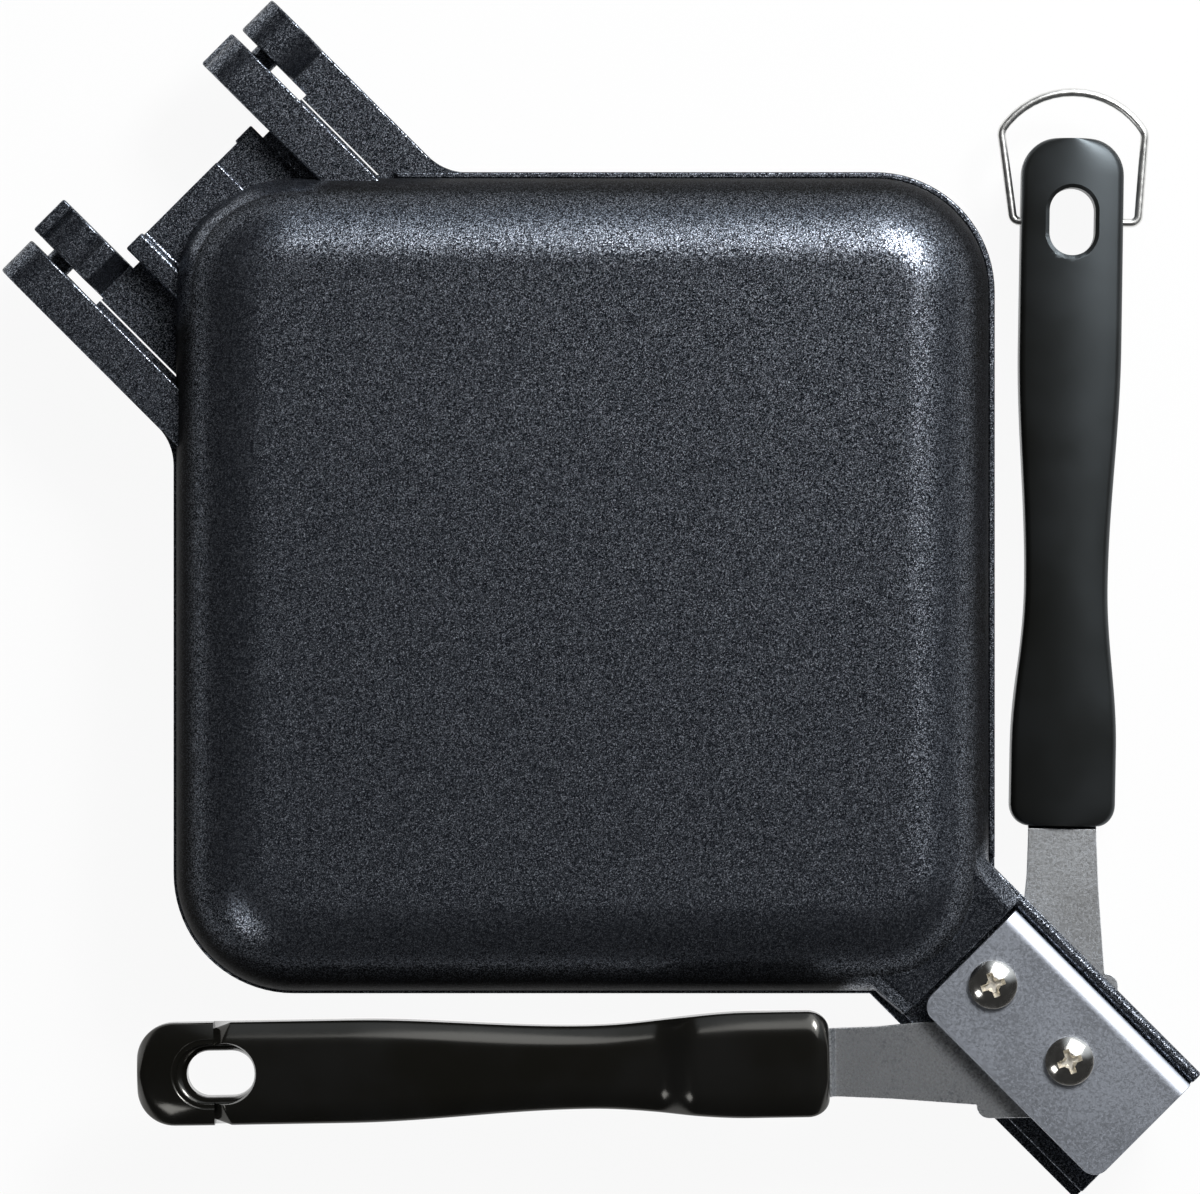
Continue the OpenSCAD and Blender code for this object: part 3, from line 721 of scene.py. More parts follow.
def lug_fillet(sunk=2.0):
    """Outline of the fillet between the lip's side and the lug's floor, and sunk into both."""
    side_x = DISH_W / 2 + LIP_T
    radius = LUG_FILLET_R
    centre = ((side_x + radius) * SQRT2 - FLOOR_Y - radius, -FLOOR_Y - radius)
    touch = (centre[0] - radius / SQRT2, centre[1] + radius / SQRT2)
    return arc(*centre, radius, 135, 90, 10) + [
        (centre[0], sunk - FLOOR_Y), (touch[0] - 2 * sunk, sunk - FLOOR_Y),
        (touch[0] - sunk, touch[1] + sunk)]


def arm_outline():
    """Side view of a hinge arm: a flat bar and its round knuckle."""
    low = degrees(asin(HALF_GAP / KNUCKLE_R))
    return ([(-ARM_ROOT, HALF_GAP), (-ARM_ROOT, KNUCKLE_R)]
            + arc(-HINGE_X, 0, KNUCKLE_R, 90, 360 + low, 40))


def hub_outline(hook=2.4, hook_up=0.4):
    """Side view of the hook-shaped hub on the closing side of the inner arm."""
    low = 1 - KNUCKLE_R
    groove = -HINGE_X - 2.9
    back = -HINGE_X - 7.5
    corners = [
        (-HINGE_X + 9.5, HALF_GAP), (-HINGE_X + 6.1, low), (groove, low), (groove, low + hook),
        (groove - hook, low + hook), (groove - hook, low + hook_up), (back, low + hook_up),
        (back, -1.0), (-HINGE_X - 5.9, HALF_GAP + 1),
    ]
    return rounded(corners, [0.1, 0.6, 0.3, 0.3, 0.3, 0.3, 0.5, 0.5, 0.1], 3)


def arm_fillet(sunk=2.0):
    """Outline of the fillet between the outer arm and the lip's side, and sunk into both."""
    side_x = DISH_W / 2 + LIP_T
    radius = ARM_FILLET_R
    edge = -OUTER_ARM_END
    centre = (-(side_x + radius) * SQRT2 - edge + radius, edge - radius)
    touch = (centre[0] + radius / SQRT2, centre[1] + radius / SQRT2)
    return arc(*centre, radius, 45, 90, 12) + [
        (centre[0], edge + sunk), (touch[0] + 1.5 * sunk, touch[1] + 1.5 * sunk)]


def make_arms():
    """Both hinge arms, the inner one with its pin and its foot."""
    pin_end = INNER_ARM_END + ARM_GAP + PIN_ENTRY
    return [
        prism("xz", arm_outline(), INNER_ARM_Y, INNER_ARM_END, ARM_EDGE),
        prism("xz", hub_outline(), INNER_ARM_Y, INNER_ARM_END, ARM_EDGE),
        prism("xz", circle(-HINGE_X, 0, PIN_R), INNER_ARM_END - PAST, pin_end, 0.3),
        box(-SLOT_X, -ARM_ROOT, BLOCK_Y - 0.1, INNER_ARM_END + 0.4, HALF_GAP, WEB_T),
        prism("xz", arm_outline(), -OUTER_ARM_END, -OUTER_ARM_Y, ARM_EDGE),
        box(-SLOT_X, -ARM_ROOT, -OUTER_ARM_Y - 1, -OUTER_ARM_Y + 1, HALF_GAP, OUTER_FOOT_T),
        prism("xy", arm_fillet(), HALF_GAP, LIP_BACK, 0.0),
    ]


def make_web():
    """The web between the arms, with the raised side stop and the soft step at its foot."""
    inner = BLOCK_W - BLOCK_Y
    block = [(inner, BLOCK_H), (-BLOCK_Y, BLOCK_H)]
    web = rounded([(-BLOCK_Y, HALF_GAP), (WEB_REACH, HALF_GAP), (WEB_REACH, WEB_T),
                   (inner, WEB_T)] + block, [0.1, 0.1, 0.4, 0.7, 0.7, 0.7], 4)
    stop = rounded([(-BLOCK_Y, HALF_GAP), (inner, HALF_GAP)] + block, [0.1, 0.1, 0.7, 0.7], 4)
    return [prism("yz", web, -WEB_X, -DEEP_ROOT, WEB_EDGE),
            prism("yz", stop, -WEB_X - BLOCK_STEP, -DEEP_ROOT, WEB_EDGE)]


def make_lug():
    """The handle's lug: floor, raised root, rib and the two bosses."""
    floor = [(DEEP_ROOT, -FLOOR_Y), (LUG_X, -FLOOR_Y), (LUG_X, RIB_END), (DEEP_ROOT, RIB_END)]
    rib = rounded([(RIB_Y, HALF_GAP), (RIB_END, HALF_GAP), (RIB_END, RIB_H), (RIB_Y, RIB_H)],
                  [0.1, 0.1, 1.2, 0.9], 6)
    sides = [ROOT_H - drop for drop in ROOT_BEVEL_H]
    root = rounded([(ROOT_FOOT[0], HALF_GAP), (ROOT_FOOT[1], HALF_GAP),
                    (ROOT_SIDE[1], sides[1]), (ROOT_TOP[1], ROOT_H),
                    (ROOT_TOP[0], ROOT_H), (ROOT_SIDE[0], sides[0])],
                   [0.1, 0.1, 1.0, 1.0, 1.0, 1.0], 5)
    raised = [[(x, y * grow, z + (rise if z > ROOT_H - 2 else 0)) for y, z in root]
              for x, rise, grow in ((DEEP_ROOT, ROOT_RISE, ROOT_SPREAD), (ROOT_X - 0.6, 0.0, 0.999))]
    return [
        prism("xy", rounded(floor, 0.4, 3), HALF_GAP, FLOOR_T, LUG_EDGE),
        prism("yz", root, DEEP_ROOT, ROOT_X, LUG_EDGE),
        skin(raised),
        prism("yz", rib, ROOT_X - 1, LUG_X, 0.4),
        prism("xy", circle(FIXED_X, SCREW_Y, FIXED_BOSS_R), FLOOR_T - 1, FLOOR_T + CHANNEL_H, 0.1),
        prism("xy", circle(PIVOT.x, SCREW_Y, PIVOT_BOSS_R), FLOOR_T - 1, FLOOR_T + CHANNEL_H, 0.1),
    ]


def make_pans(coating):
    """Both castings: one shape, turned over for the lower pan."""
    bore = prism("xz", circle(-HINGE_X, 0, PIN_R + PIN_CLEAR),
                 -OUTER_ARM_Y - PIN_ENTRY - 0.4, -OUTER_ARM_Y + PAST, 0)
    solids = [make_dish()] + make_lip() + make_arms() + make_web() + make_lug()
    casting = joined([joined(solids, [bore])], [make_hollow()])
    upper = finished(casting, "upper_pan_casting", half_place("upper"), coating)
    lower = twin(upper, "lower_pan_casting", UPPER_TO_LOWER)
    settle(upper, "upper_pan", "coated_aluminium", "upper_pan")
    settle(lower, "lower_pan", "coated_aluminium", "lower_pan")


# ---------- steel plates and strips ----------

PLATE_T = 1.5
PLATE_TOP = FLOOR_T + CHANNEL_H + PLATE_T
PLATE_Y0 = 11.4
PLATE_Y1 = 13.4
PLATE_CORNER_R = 3.0
PLATE_EDGE = 0.15
FOLD_W = 3.2


def make_plates(steel):
    """The folded steel plates over the lugs."""
    fold_y = PLATE_Y1 - FOLD_W
    flat_y = fold_y + 0.01
    corners = [(PLATE_X0, -PLATE_Y0), (LUG_X, -PLATE_Y0), (LUG_X, flat_y), (PLATE_X0, flat_y)]
    flat = rounded(corners, [PLATE_CORNER_R, PLATE_CORNER_R, 0.0, 0.0], 8)
    tight, wide, drop = shoulder(FOLD_W)
    turn = 90 - EDGE_TURN
    inner_turn = degrees(acos((FOLD_W - PLATE_T) / (wide - PLATE_T)))
    foot = FLOOR_T + 0.05
    # The bend takes in a little of the flat, so that no seam shows between them
    bend = (arc(PLATE_Y1 - tight, PLATE_TOP - drop, tight, 0, turn, 6)[:-1]
            + arc(fold_y, PLATE_TOP - wide, wide, turn, 90, 18)
            + [(fold_y - PLATE_T, PLATE_TOP), (fold_y - PLATE_T, PLATE_TOP - PLATE_T)]
            + arc(fold_y, PLATE_TOP - wide, wide - PLATE_T, 90, inner_turn, 10)
            + [(PLATE_Y1 - PLATE_T, foot), (PLATE_Y1, foot)])
    solid = joined([prism("xy", flat, PLATE_TOP - PLATE_T, PLATE_TOP, PLATE_EDGE),
                    prism("yz", bend, PLATE_X0, LUG_X, PLATE_EDGE)])
    upper = finished(solid, "upper_lug_plate", half_place("upper"), steel)
    lower = twin(upper, "lower_lug_plate", UPPER_TO_LOWER)
    settle(upper, "upper_pan", "plate_steel", "upper_bracket")
    settle(lower, "lower_pan", "plate_steel", "lower_bracket")


# The strip's frame has its pivot at the origin and +x along the folded handle
STRIP_Z = FLOOR_T + 0.55
STRIP_T = 2.0
STRIP_W = 12.5
STRIP_EDGE = 0.15
HANDLE_OFFSET = -0.35
STRIP_Y0 = HANDLE_OFFSET - STRIP_W / 2
STRIP_Y1 = HANDLE_OFFSET + STRIP_W / 2
EYE_R = 8.0
EYE_BORE_R = 4.05
# Where the strip is widest before it narrows to its width at the grip, and by how much, on
# the side away from its stop
BELLY_X = 27.0
BELLY = 0.8
STOP_X = 14.7
STOP_Y = 8.1
STOP_R = 2.2
GRIP_X0 = 43.8
STEP_RISE = 2.0
STEP_START = 1.6
STEP_FOOT = 1.15
STEP_HEAD = 0.45
# The step's underside bends this much further on than its top
STEP_LAG = 0.6
TONGUE_EDGE = 0.12
TONGUE_L = 5.0


def strip_outline(end_x):
    """The strip seen from above: eye, belly, square end and stop."""
    belly_y = STRIP_Y0 - BELLY
    leave = 360 + degrees(atan2(belly_y, BELLY_X) - acos(EYE_R / hypot(BELLY_X, belly_y)))
    return (arc(0, 0, EYE_R, 128, leave, 30)
            + [(BELLY_X, belly_y), (34.7, STRIP_Y0 - 0.15), (end_x, STRIP_Y0),
               (end_x, STRIP_Y1), (32.4, STRIP_Y1 + 0.55), (17.0, 7.8)]
            + arc(STOP_X, STOP_Y, STOP_R, 0, 90, 8) + [(1.5, STOP_Y + STOP_R)])


def make_strips(tumbled, brushed_painted_lit):
    """The handle strips: round eye, stop, and a small step just before the grip."""
    end_x = GRIP_X0 - STEP_START
    start_x = end_x - 0.4
    foot_x, head_x = GRIP_X0 - STEP_FOOT, GRIP_X0 - STEP_HEAD
    top = STRIP_Z + STRIP_T
    tongue = rounded([(start_x, STRIP_Z), (foot_x + STEP_LAG, STRIP_Z),
                      (head_x + STEP_LAG, STRIP_Z + STEP_RISE),
                      (GRIP_X0 + TONGUE_L, STRIP_Z + STEP_RISE),
                      (GRIP_X0 + TONGUE_L, top + STEP_RISE),
                      (head_x, top + STEP_RISE), (foot_x, top), (start_x, top)],
                     [0.0, 0.05, 0.05, 0.0, 0.0, 0.35, 0.3, 0.0], 5)
    solid = joined(
        [prism("xy", strip_outline(end_x), STRIP_Z, top, STRIP_EDGE),
         prism("xz", tongue, STRIP_Y0, STRIP_Y1, TONGUE_EDGE)],
        [prism("xy", circle(0, 0, EYE_BORE_R), STRIP_Z - PAST, top + PAST, 0)],
    )
    upper = finished(solid, "upper_handle_strip", handle_place("upper"), tumbled, 25.0)
    # The lower strip's paler tone is a painted highlight on the same steel
    lower = twin(upper, "lower_handle_strip", UPPER_TO_LOWER, brushed_painted_lit)
    settle(upper, "upper_handle", "strip_steel", "upper_strip")
    settle(lower, "lower_handle", "strip_steel", "lower_strip")


# ---------- grips ----------
# d is the distance behind the grip's front, in millimetres

GRIP_L = 126.0
GUARD_W, WAIST_W, PALM_W = 19.2, 15.1, 18.7
GUARD_T, WAIST_T, PALM_T = 15.4, 12.3, 13.8
GUARD_L, WAIST_X, PALM_X = 24.0, 44.0, 88.0
GUARD_FLAT_L = 14.0
GUARD_SLOPE_L = 7.5
GUARD_END = GUARD_L + GUARD_SLOPE_L
GRIP_LIFT = 0.3
FRONT_R = 4.0
NOSE_R = 6.8
NOSE_FLAT = 5.4
NOSE_DROP = 3.0
NOSE_TOP_L = 1.5
CREST_L = 3.0
INNER_EDGE_R = 1.2

# The outer edge bends wide and then tight: its width, the tight bend's share of that, and
# the angle of the wide bend
EDGE_W = 4.6
EDGE_TIGHT = 0.24
EDGE_TURN = 40.0

# How much the faces are crowned across, and how far the inner one bends up at its ends
TOP_CROWN = 0.5
FACE_CROWN = 1.4
FACE_BOW = 2.4
FACE_BOW_X = 68.0
FRONT_BOW = 2.2

# The hanging hole, and its wider mouth in the outer face
HANG_X = 15.3
HANG_L = 12.4
HANG_W = 8.4
MOUTH_L = 14.2
MOUTH_W = 10.7
MOUTH_SHIFT = 0.9
MOUTH_WALL = 1.0
MOUTH_DEPTH = 1.9
MOUTH_EDGE = 0.26
MOUTH_CURVE = 1.5
MOUTH_STEPS = 6
CHAMFER_W = 0.7
CHAMFER_H = 0.4
HOLE_D = GRIP_L - HANG_X

# The bail's seat: a ramp that ends at a wall, and a ledge round the mouth behind that wall
BAIL_X = GRIP_X0 + HOLE_D
BAIL_Z = 7.0
SEAT_RAMP_L = 1.9
SEAT_RAMP_MIN = 0.15
SEAT_WALL_X = 1.2
SEAT_DEPTH = 1.1
SEAT_FADE_H = 3.0
SHELF_W = 0.45
LEDGE_R = 0.75
LEDGE_TURN = 60.0

# The slot for the strip's tongue
SLOT_L = 8.0
SLOT_W = 10.0

# How many steps the cross sections take between the grip's round ends
STATIONS = 150


def ease(low, high, t):
    """Goes from low to high in a smooth bend as t goes from 0 to 1."""
    return low + (high - low) * (1 - cos(pi * clamped(t))) / 2


def rounding(d, radius):
    """How much of its full size a round end has reached, d inside an end of that radius."""
    return sqrt(1 - max(0.0, 1 - d / radius) ** 2)


def shoulder(width):
    """The tight radius, the wide radius and the height of an edge of that width."""
    turn = radians(EDGE_TURN)
    tight = width * EDGE_TIGHT
    wide = (width - tight * (1 - sin(turn))) / sin(turn)
    return tight, wide, wide * (1 - cos(turn)) + tight * cos(turn)


def shoulder_drop(inside, width):
    """How far an edge of that width lies below its top, at this distance inside it."""
    tight, wide, height = shoulder(width)
    if inside >= width:
        return 0.0
    if inside >= tight * (1 - sin(radians(EDGE_TURN))):
        return wide - sqrt(wide ** 2 - (width - inside) ** 2)
    return height - sqrt(tight ** 2 - (tight - inside) ** 2)


def grip_half_width(d):
    """Half the grip's width."""
    if d < WAIST_X:
        full = ease(GUARD_W / 2, WAIST_W / 2, (d - GUARD_FLAT_L) / (WAIST_X - GUARD_FLAT_L))
    else:
        full = ease(WAIST_W / 2, PALM_W / 2, (d - WAIST_X) / (PALM_X - WAIST_X))
    front, nose = STRIP_W / 2, NOSE_FLAT / 2
    if d < FRONT_R:
        return front + (full - front) * rounding(d, FRONT_R)
    if d > GRIP_L - NOSE_R:
        return nose + (full - nose) * rounding(GRIP_L - d, NOSE_R)
    return full


def grip_crest(d):
    """Height of the grip's outer face along its middle."""
    if d < GUARD_END:
        body = ease(GUARD_T, WAIST_T, (d - GUARD_L) / GUARD_SLOPE_L)
    else:
        body = ease(WAIST_T, PALM_T, (d - GUARD_END) / (PALM_X - GUARD_END))
    fall = NOSE_DROP * (max(0.0, d - HOLE_D) / HANG_X) ** 2
    ends = shoulder_drop(d, CREST_L) + shoulder_drop(GRIP_L - d, NOSE_TOP_L)
    return GRIP_LIFT + body - fall - ends


def seat_depth(d, outward):
    """How deep the bail's seat is. Its ramp is longer at the sides, where outward is 1."""
    back = d - HOLE_D
    ramp = SEAT_RAMP_L * (SEAT_RAMP_MIN + (1 - SEAT_RAMP_MIN) * clamped(outward))
    if -ramp < back < SEAT_WALL_X:
        return SEAT_DEPTH * (back + ramp) / (ramp + SEAT_WALL_X)
    return 0.0


def face_bow(d):
    """How far the inner face has bent up from its plane."""
    back = max(0.0, d - FACE_BOW_X) / (GRIP_L - FACE_BOW_X)
    front = max(0.0, WAIST_X - d) / WAIST_X
    return FACE_BOW * back ** 2 + FRONT_BOW * front ** 2


def outer_face(x, y):
    """Height of a grip's outer face over a point of its own frame."""
    d = min(x - GRIP_X0, GRIP_L)
    half = grip_half_width(d)
    across = y - HANDLE_OFFSET
    drop = TOP_CROWN * (across / half) ** 2 + shoulder_drop(half - abs(across), EDGE_W)
    return grip_crest(d) - drop


def inner_face(x, y):
    """Height of a grip's inner face over a point of its own frame."""
    d = min(x - GRIP_X0, GRIP_L)
    across = (y - HANDLE_OFFSET) / grip_half_width(d)
    return GRIP_LIFT + face_bow(d) + FACE_CROWN * across ** 2


def grip_outline(half, top):
    """A cross section before its faces are crowned: outer shoulders and small inner edges."""
    b = INNER_EDGE_R
    r = min(EDGE_W, half * 0.9)
    tight, wide, drop = shoulder(r)
    turn = 90 - EDGE_TURN
    side = (arc(half - tight, top - drop, tight, 0, turn, 4)[:-1]
            + arc(half - r, top - wide, wide, turn, 90, 9))
    across = [-1 + 2 * k / 10 for k in range(1, 10)]
    return (arc(half - b, GRIP_LIFT + b, b, -90, 0, 4) + side
            + [((half - r) * -t, top) for t in across]
            + [(-y, z) for y, z in reversed(side)]
            + arc(b - half, GRIP_LIFT + b, b, 180, 270, 4)
            + [((half - b) * t, GRIP_LIFT) for t in across])


def grip_ring(d, seat):
    """One cross section of the grip, with both faces slightly crowned, and the seat cut in."""
    half, top, bow = grip_half_width(d), grip_crest(d), face_bow(d)
    ring = []
    for y, z in grip_outline(half, top):
        up = (z - GRIP_LIFT) / (top - GRIP_LIFT)
        crown = (y / half) ** 2
        z += (FACE_CROWN * crown + bow) * (1 - up) - TOP_CROWN * up * crown
        if seat and z > BAIL_Z:
            depth = seat_depth(d, (abs(y) - MOUTH_W / 2) / (half - MOUTH_W / 2))
            y *= 1 - depth / half
            z -= depth * min(1.0, (z - BAIL_Z) / SEAT_FADE_H)
        ring.append((GRIP_X0 + d, y + HANDLE_OFFSET, z))
    return ring


def slot_outline(length, width, shift=0.0, steps=24):
    """A slot about the hanging hole's middle, moved towards the grip's end by shift."""
    r = width / 2
    reach = (length - width) / 2
    x = BAIL_X + shift
    return (arc(x + reach, HANDLE_OFFSET, r, -90, 90, steps)
            + arc(x - reach, HANDLE_OFFSET, r, 90, 270, steps))


def slot_cutter(sections):
    """A cutter through slots.

    Each section has its way from the hole, 0, to the mouth, 1, its growth, and its height:
    above the grip's inner face, or below its outer one where that is not None.
    """
    rings = []
    for way, grow, above, below in sections:
        length = HANG_L + (MOUTH_L - HANG_L) * way + 2 * grow
        width = HANG_W + (MOUTH_W - HANG_W) * way + 2 * grow
        points = slot_outline(length, width, MOUTH_SHIFT * way)
        if below is None:
            rings.append([(x, y, inner_face(x, y) + above) for x, y in points])
        else:
            rings.append([(x, y, outer_face(x, y) - below) for x, y in points])
    return skin(rings)


def hole_cutter():
    """Cutter for the hanging hole: inner chamfer, dish round the hole, bright-edged mouth."""
    chamfer = [(0, CHAMFER_W * 2, -CHAMFER_H, None), (0, 0.0, CHAMFER_H, None)]
    ways = [k / MOUTH_STEPS for k in range(MOUTH_STEPS + 1)]
    dish = [(way, 0.0, 0, MOUTH_WALL + MOUTH_DEPTH * (1 - way) ** MOUTH_CURVE) for way in ways]
    rim = [(1, MOUTH_EDGE, 0, 0.0), (1, MOUTH_EDGE * 2, 0, -MOUTH_WALL)]
    return slot_cutter(chamfer + dish + rim)


def ledge_cutter():
    """Cutter for the ledge round the mouth, behind the wall of the bail's seat."""
    depth = LEDGE_R * (1 - cos(radians(LEDGE_TURN)))
    turns = [radians(LEDGE_TURN * k / 6) for k in range(7)]
    inside = [(1, -0.3, 0, depth + 0.1), (1, MOUTH_EDGE, 0, depth)]
    curve = [(1, SHELF_W + LEDGE_R * sin(t), 0, depth - LEDGE_R * (1 - cos(t))) for t in turns]
    outside = [(1, SHELF_W + LEDGE_R, 0, -0.5)]
    wall_x = BAIL_X + SEAT_WALL_X
    before_wall = box(wall_x - 30, wall_x + 0.01, -20, 20, 0, 40)
    return joined([slot_cutter(inside + curve + outside)], [before_wall])


def bore_cutters():
    """Cutters for the two bores that the bail's ends turn in."""
    bore = circle(BAIL_X, BAIL_Z, BORE_R, 24)
    deep = PALM_W / 2 - BAIL_ENTRY - 0.2
    spans = [sorted((HANDLE_OFFSET + side * deep, HANDLE_OFFSET + side * PALM_W))
             for side in (-1, 1)]
    return [prism("xz", bore, low, high, 0) for low, high in spans]


def grip_stations(seat):
    """Where the cross sections stand: close together at the round ends and at the seat."""
    middle_l = GRIP_L - FRONT_R - NOSE_R
    stations = [FRONT_R * (1 - cos(radians(a))) for a in range(0, 90, 9)]
    stations += [FRONT_R + k * middle_l / STATIONS for k in range(STATIONS + 1)]
    stations += [GRIP_L - NOSE_R * (1 - sin(radians(a))) for a in range(6, 91, 6)]
    if seat:
        start = HOLE_D - SEAT_RAMP_L
        wall = HOLE_D + SEAT_WALL_X
        stations = [d for d in stations if not start - 0.2 < d < wall + 0.2]
        stations += [start + (wall - start) * k / 12 for k in range(12)]
        stations += [wall - 0.001, wall + 0.02]
    return sorted(stations)


def make_grip(seat):
    """One grip, with the seat that the bail snaps into, or with the bores for its ends."""
    body = skin([grip_ring(d, seat) for d in grip_stations(seat)])
    slot_x0, slot_x1 = GRIP_X0 - PAST, GRIP_X0 + SLOT_L
    slot_z0 = STRIP_Z + STEP_RISE
    slot_z1 = slot_z0 + STRIP_T
    slot = [(slot_x0, slot_z0), (slot_x1, slot_z0), (slot_x1, slot_z1), (slot_x0, slot_z1)]
    cuts = [hole_cutter(),
            prism("xz", slot, HANDLE_OFFSET - SLOT_W / 2, HANDLE_OFFSET + SLOT_W / 2, 0)]
    return joined([body], cuts + ([ledge_cutter()] if seat else bore_cutters()))


def make_grips(gloss, matt):
    """In the folded iron one grip has its glossy side up, and the other its matt inner side."""
    for half, resin in zip(HALVES, (gloss, matt)):
        grip = finished(make_grip(half == "upper"), half + "_moulded_grip",
                        handle_place(half), resin, 30.0)
        settle(grip, half + "_handle", "grip_resin", half + "_grip")


# ---------- locking bail ----------

WIRE_R = 0.8
BORE_R = WIRE_R + 0.08
BAIL_REACH = 23.8
BAIL_BEND_X = 16.5
BAIL_BEND_Y = 13.2
BAIL_FOOT = {"far": 12.2, "near": 10.7}
BAIL_ENTRY = 4.0
BOW_BEND_R = 2.4
BOW_STEPS = 16
FOOT_BEND_R = 1.4


def bail_route():
    """The wire's corners, each with the radius of its bend, from its far end to its near one."""
    rise = BAIL_REACH - BAIL_BEND_X
    bow_r = (BAIL_BEND_Y ** 2 + rise ** 2) / (2 * rise)
    half_turn = degrees(asin(BAIL_BEND_Y / bow_r))
    points = arc(BAIL_REACH - bow_r, 0, bow_r, half_turn, -half_turn, BOW_STEPS)
    bow = [(x, y, BOW_BEND_R if k in (0, BOW_STEPS) else 0.0) for k, (x, y) in enumerate(points)]
    deep = PALM_W / 2 - BAIL_ENTRY
    return ([(0, deep, 0.0), (0, BAIL_FOOT["far"], FOOT_BEND_R)] + bow
            + [(0, -BAIL_FOOT["near"], FOOT_BEND_R), (0, -deep, 0.0)])


def make_bail(bright):
    """The sprung wire bail in the lower grip."""
    route = bail_route()
    points = [(BAIL_X + x, HANDLE_OFFSET + y, BAIL_Z) for x, y, _ in route]
    mesh = bpy.data.meshes.new("route")
    mesh.from_pydata(points, [(k, k + 1) for k in range(len(route) - 1)], [])
    bend = mesh.attributes.new("bend", "FLOAT", "POINT")
    for k, (_, _, radius) in enumerate(route):
        bend.data[k].value = radius

    wire = Recipe("bent_wire", {"Wire Radius": WIRE_R - 0.01})
    line = wire.add("GeometryNodeMeshToCurve", values={"Mesh": wire.given("Geometry")})
    radius = wire.add("GeometryNodeInputNamedAttribute", {"data_type": "FLOAT"},
                      {"Name": "bend"})
    bent = wire.add("GeometryNodeFilletCurve", {"mode": "POLY"},
                    {"Curve": line, "Radius": radius, "Count": 10, "Limit Radius": True})
    section = wire.add("GeometryNodeCurvePrimitiveCircle",
                       values={"Resolution": 24, "Radius": wire.given("Wire Radius")})
    tube = wire.add("GeometryNodeCurveToMesh",
                    values={"Curve": bent, "Profile Curve": section, "Fill Caps": True})
    wire.end(tube, bright)
    bail = wire.made_on(added("route", mesh), "bail_wire", handle_place("lower"))
    settle(bail, "locking_bail", "bail_wire", "locking_bail")


# ---------- screws ----------

HEAD_R = 4.425
HEAD_H = 2.5
HEAD_EDGE_H = 0.9
DOME_H = HEAD_H - HEAD_EDGE_H
DOME_R = (HEAD_R ** 2 + DOME_H ** 2) / (2 * DOME_H)
SHANK_R = 2.0
SHANK_L = 5.0
RECESS = {"length": 5.1, "width": 1.25, "depth": 1.4, "taper": 0.62, "core": 1.35, "tip": 0.7}
RECESS_TURN = 64.0


def make_screws(nickel, struck):
    """The domed screws, two on each lug, bright but for the struck walls of their recess."""
    screw = Recipe("cross_recess_screw",
                   {"Head Radius": HEAD_R, "Head Height": HEAD_H, "Shank Radius": SHANK_R})
    height = screw.given("Head Height")

    def moved(geometry, z=0.0, turn=0.0, scale=(1, 1, 1)):
        place = screw.add("ShaderNodeCombineXYZ", values={2: z})
        return screw.add("GeometryNodeTransform", values={
            "Geometry": geometry, "Translation": place,
            "Rotation": (0, 0, radians(turn)), "Scale": scale})

    def solid(operation, first, *others):
        parts = {"Mesh 2": [first, *others]}
        if operation == "DIFFERENCE":
            parts = {"Mesh 1": first, "Mesh 2": list(others)}
        settings = {"operation": operation, "solver": "MANIFOLD"}
        return screw.add("GeometryNodeMeshBoolean", settings, parts)

    def cylinder(sides, radius, depth):
        return screw.add("GeometryNodeMeshCylinder",
                         values={"Vertices": sides, "Radius": radius, "Depth": depth})

    def cone(sides, top, bottom, depth):
        return screw.add("GeometryNodeMeshCone", values={
            "Vertices": sides, "Radius Top": top, "Radius Bottom": bottom, "Depth": depth})

    ball = screw.add("GeometryNodeMeshUVSphere",
                     values={"Segments": 96, "Rings": 96, "Radius": DOME_R})
    blank = cylinder(96, screw.given("Head Radius"), height)
    head = solid("INTERSECT", moved(ball, height - DOME_R), moved(blank, height * 0.5))
    shank = cylinder(32, screw.given("Shank Radius"), SHANK_L)
    whole = solid("UNION", head, moved(shank, 0.1 - SHANK_L / 2))

    # The recess: two tapered bars across each other, and a cone between them
    floor = height - RECESS["depth"]
    bar = moved(cone(4, SQRT2 / 2, SQRT2 / 2 * RECESS["taper"], 1.0), turn=45)
    size = (RECESS["length"], RECESS["width"], RECESS["depth"])
    cuts = [moved(bar, floor, RECESS_TURN + turn, size) for turn in (0, 90)]
    cuts.append(moved(cone(24, RECESS["core"], RECESS["tip"], RECESS["depth"]), floor))
    recessed = solid("DIFFERENCE", whole, *cuts)

    spot = screw.add("GeometryNodeInputPosition")
    from_centre = screw.add("ShaderNodeVectorMath", {"operation": "DISTANCE"},
                            {0: spot, 1: (0, 0, HEAD_H - DOME_R)}, "Value")
    spot_z = screw.add("ShaderNodeSeparateXYZ", values={0: spot}, output="Z")
    in_recess = (from_centre < DOME_R - 0.02) * (spot_z > HEAD_EDGE_H + 0.1)
    recessed = screw.add("GeometryNodeSetMaterial", values={
        "Geometry": recessed, "Selection": in_recess, "Material": struck})
    points = screw.add("GeometryNodeMeshToPoints", values={"Mesh": screw.given("Geometry")})
    each = screw.add("GeometryNodeInstanceOnPoints",
                     values={"Points": points, "Instance": recessed})
    screw.end(each, nickel, struck)

    for half in HALVES:
        mesh = bpy.data.meshes.new("screw_places")
        mesh.from_pydata([(x, SCREW_Y, PLATE_TOP) for x in (FIXED_X, PIVOT.x)], [], [])
        screws = screw.made_on(added("screw_places", mesh), half + "_lug_screws",
                               half_place(half))
        settle(screws, half + "_pan", "screw_steel", half + "_bracket_screw",
               half + "_pivot_screw")


# ---------- washers and springs ----------

def finish_washers(bright):
    """The glide washers and disc springs keep their CAD shape, in bright steel."""
    for half in HALVES:
        for node in ("_glide_washer", "_disc_spring"):
            materials = frame["nodes"][half + node].data.materials
            materials.clear()
            materials.append(bright)


# ---------- floor and studio ----------

FLOOR_DROP = 0.0002
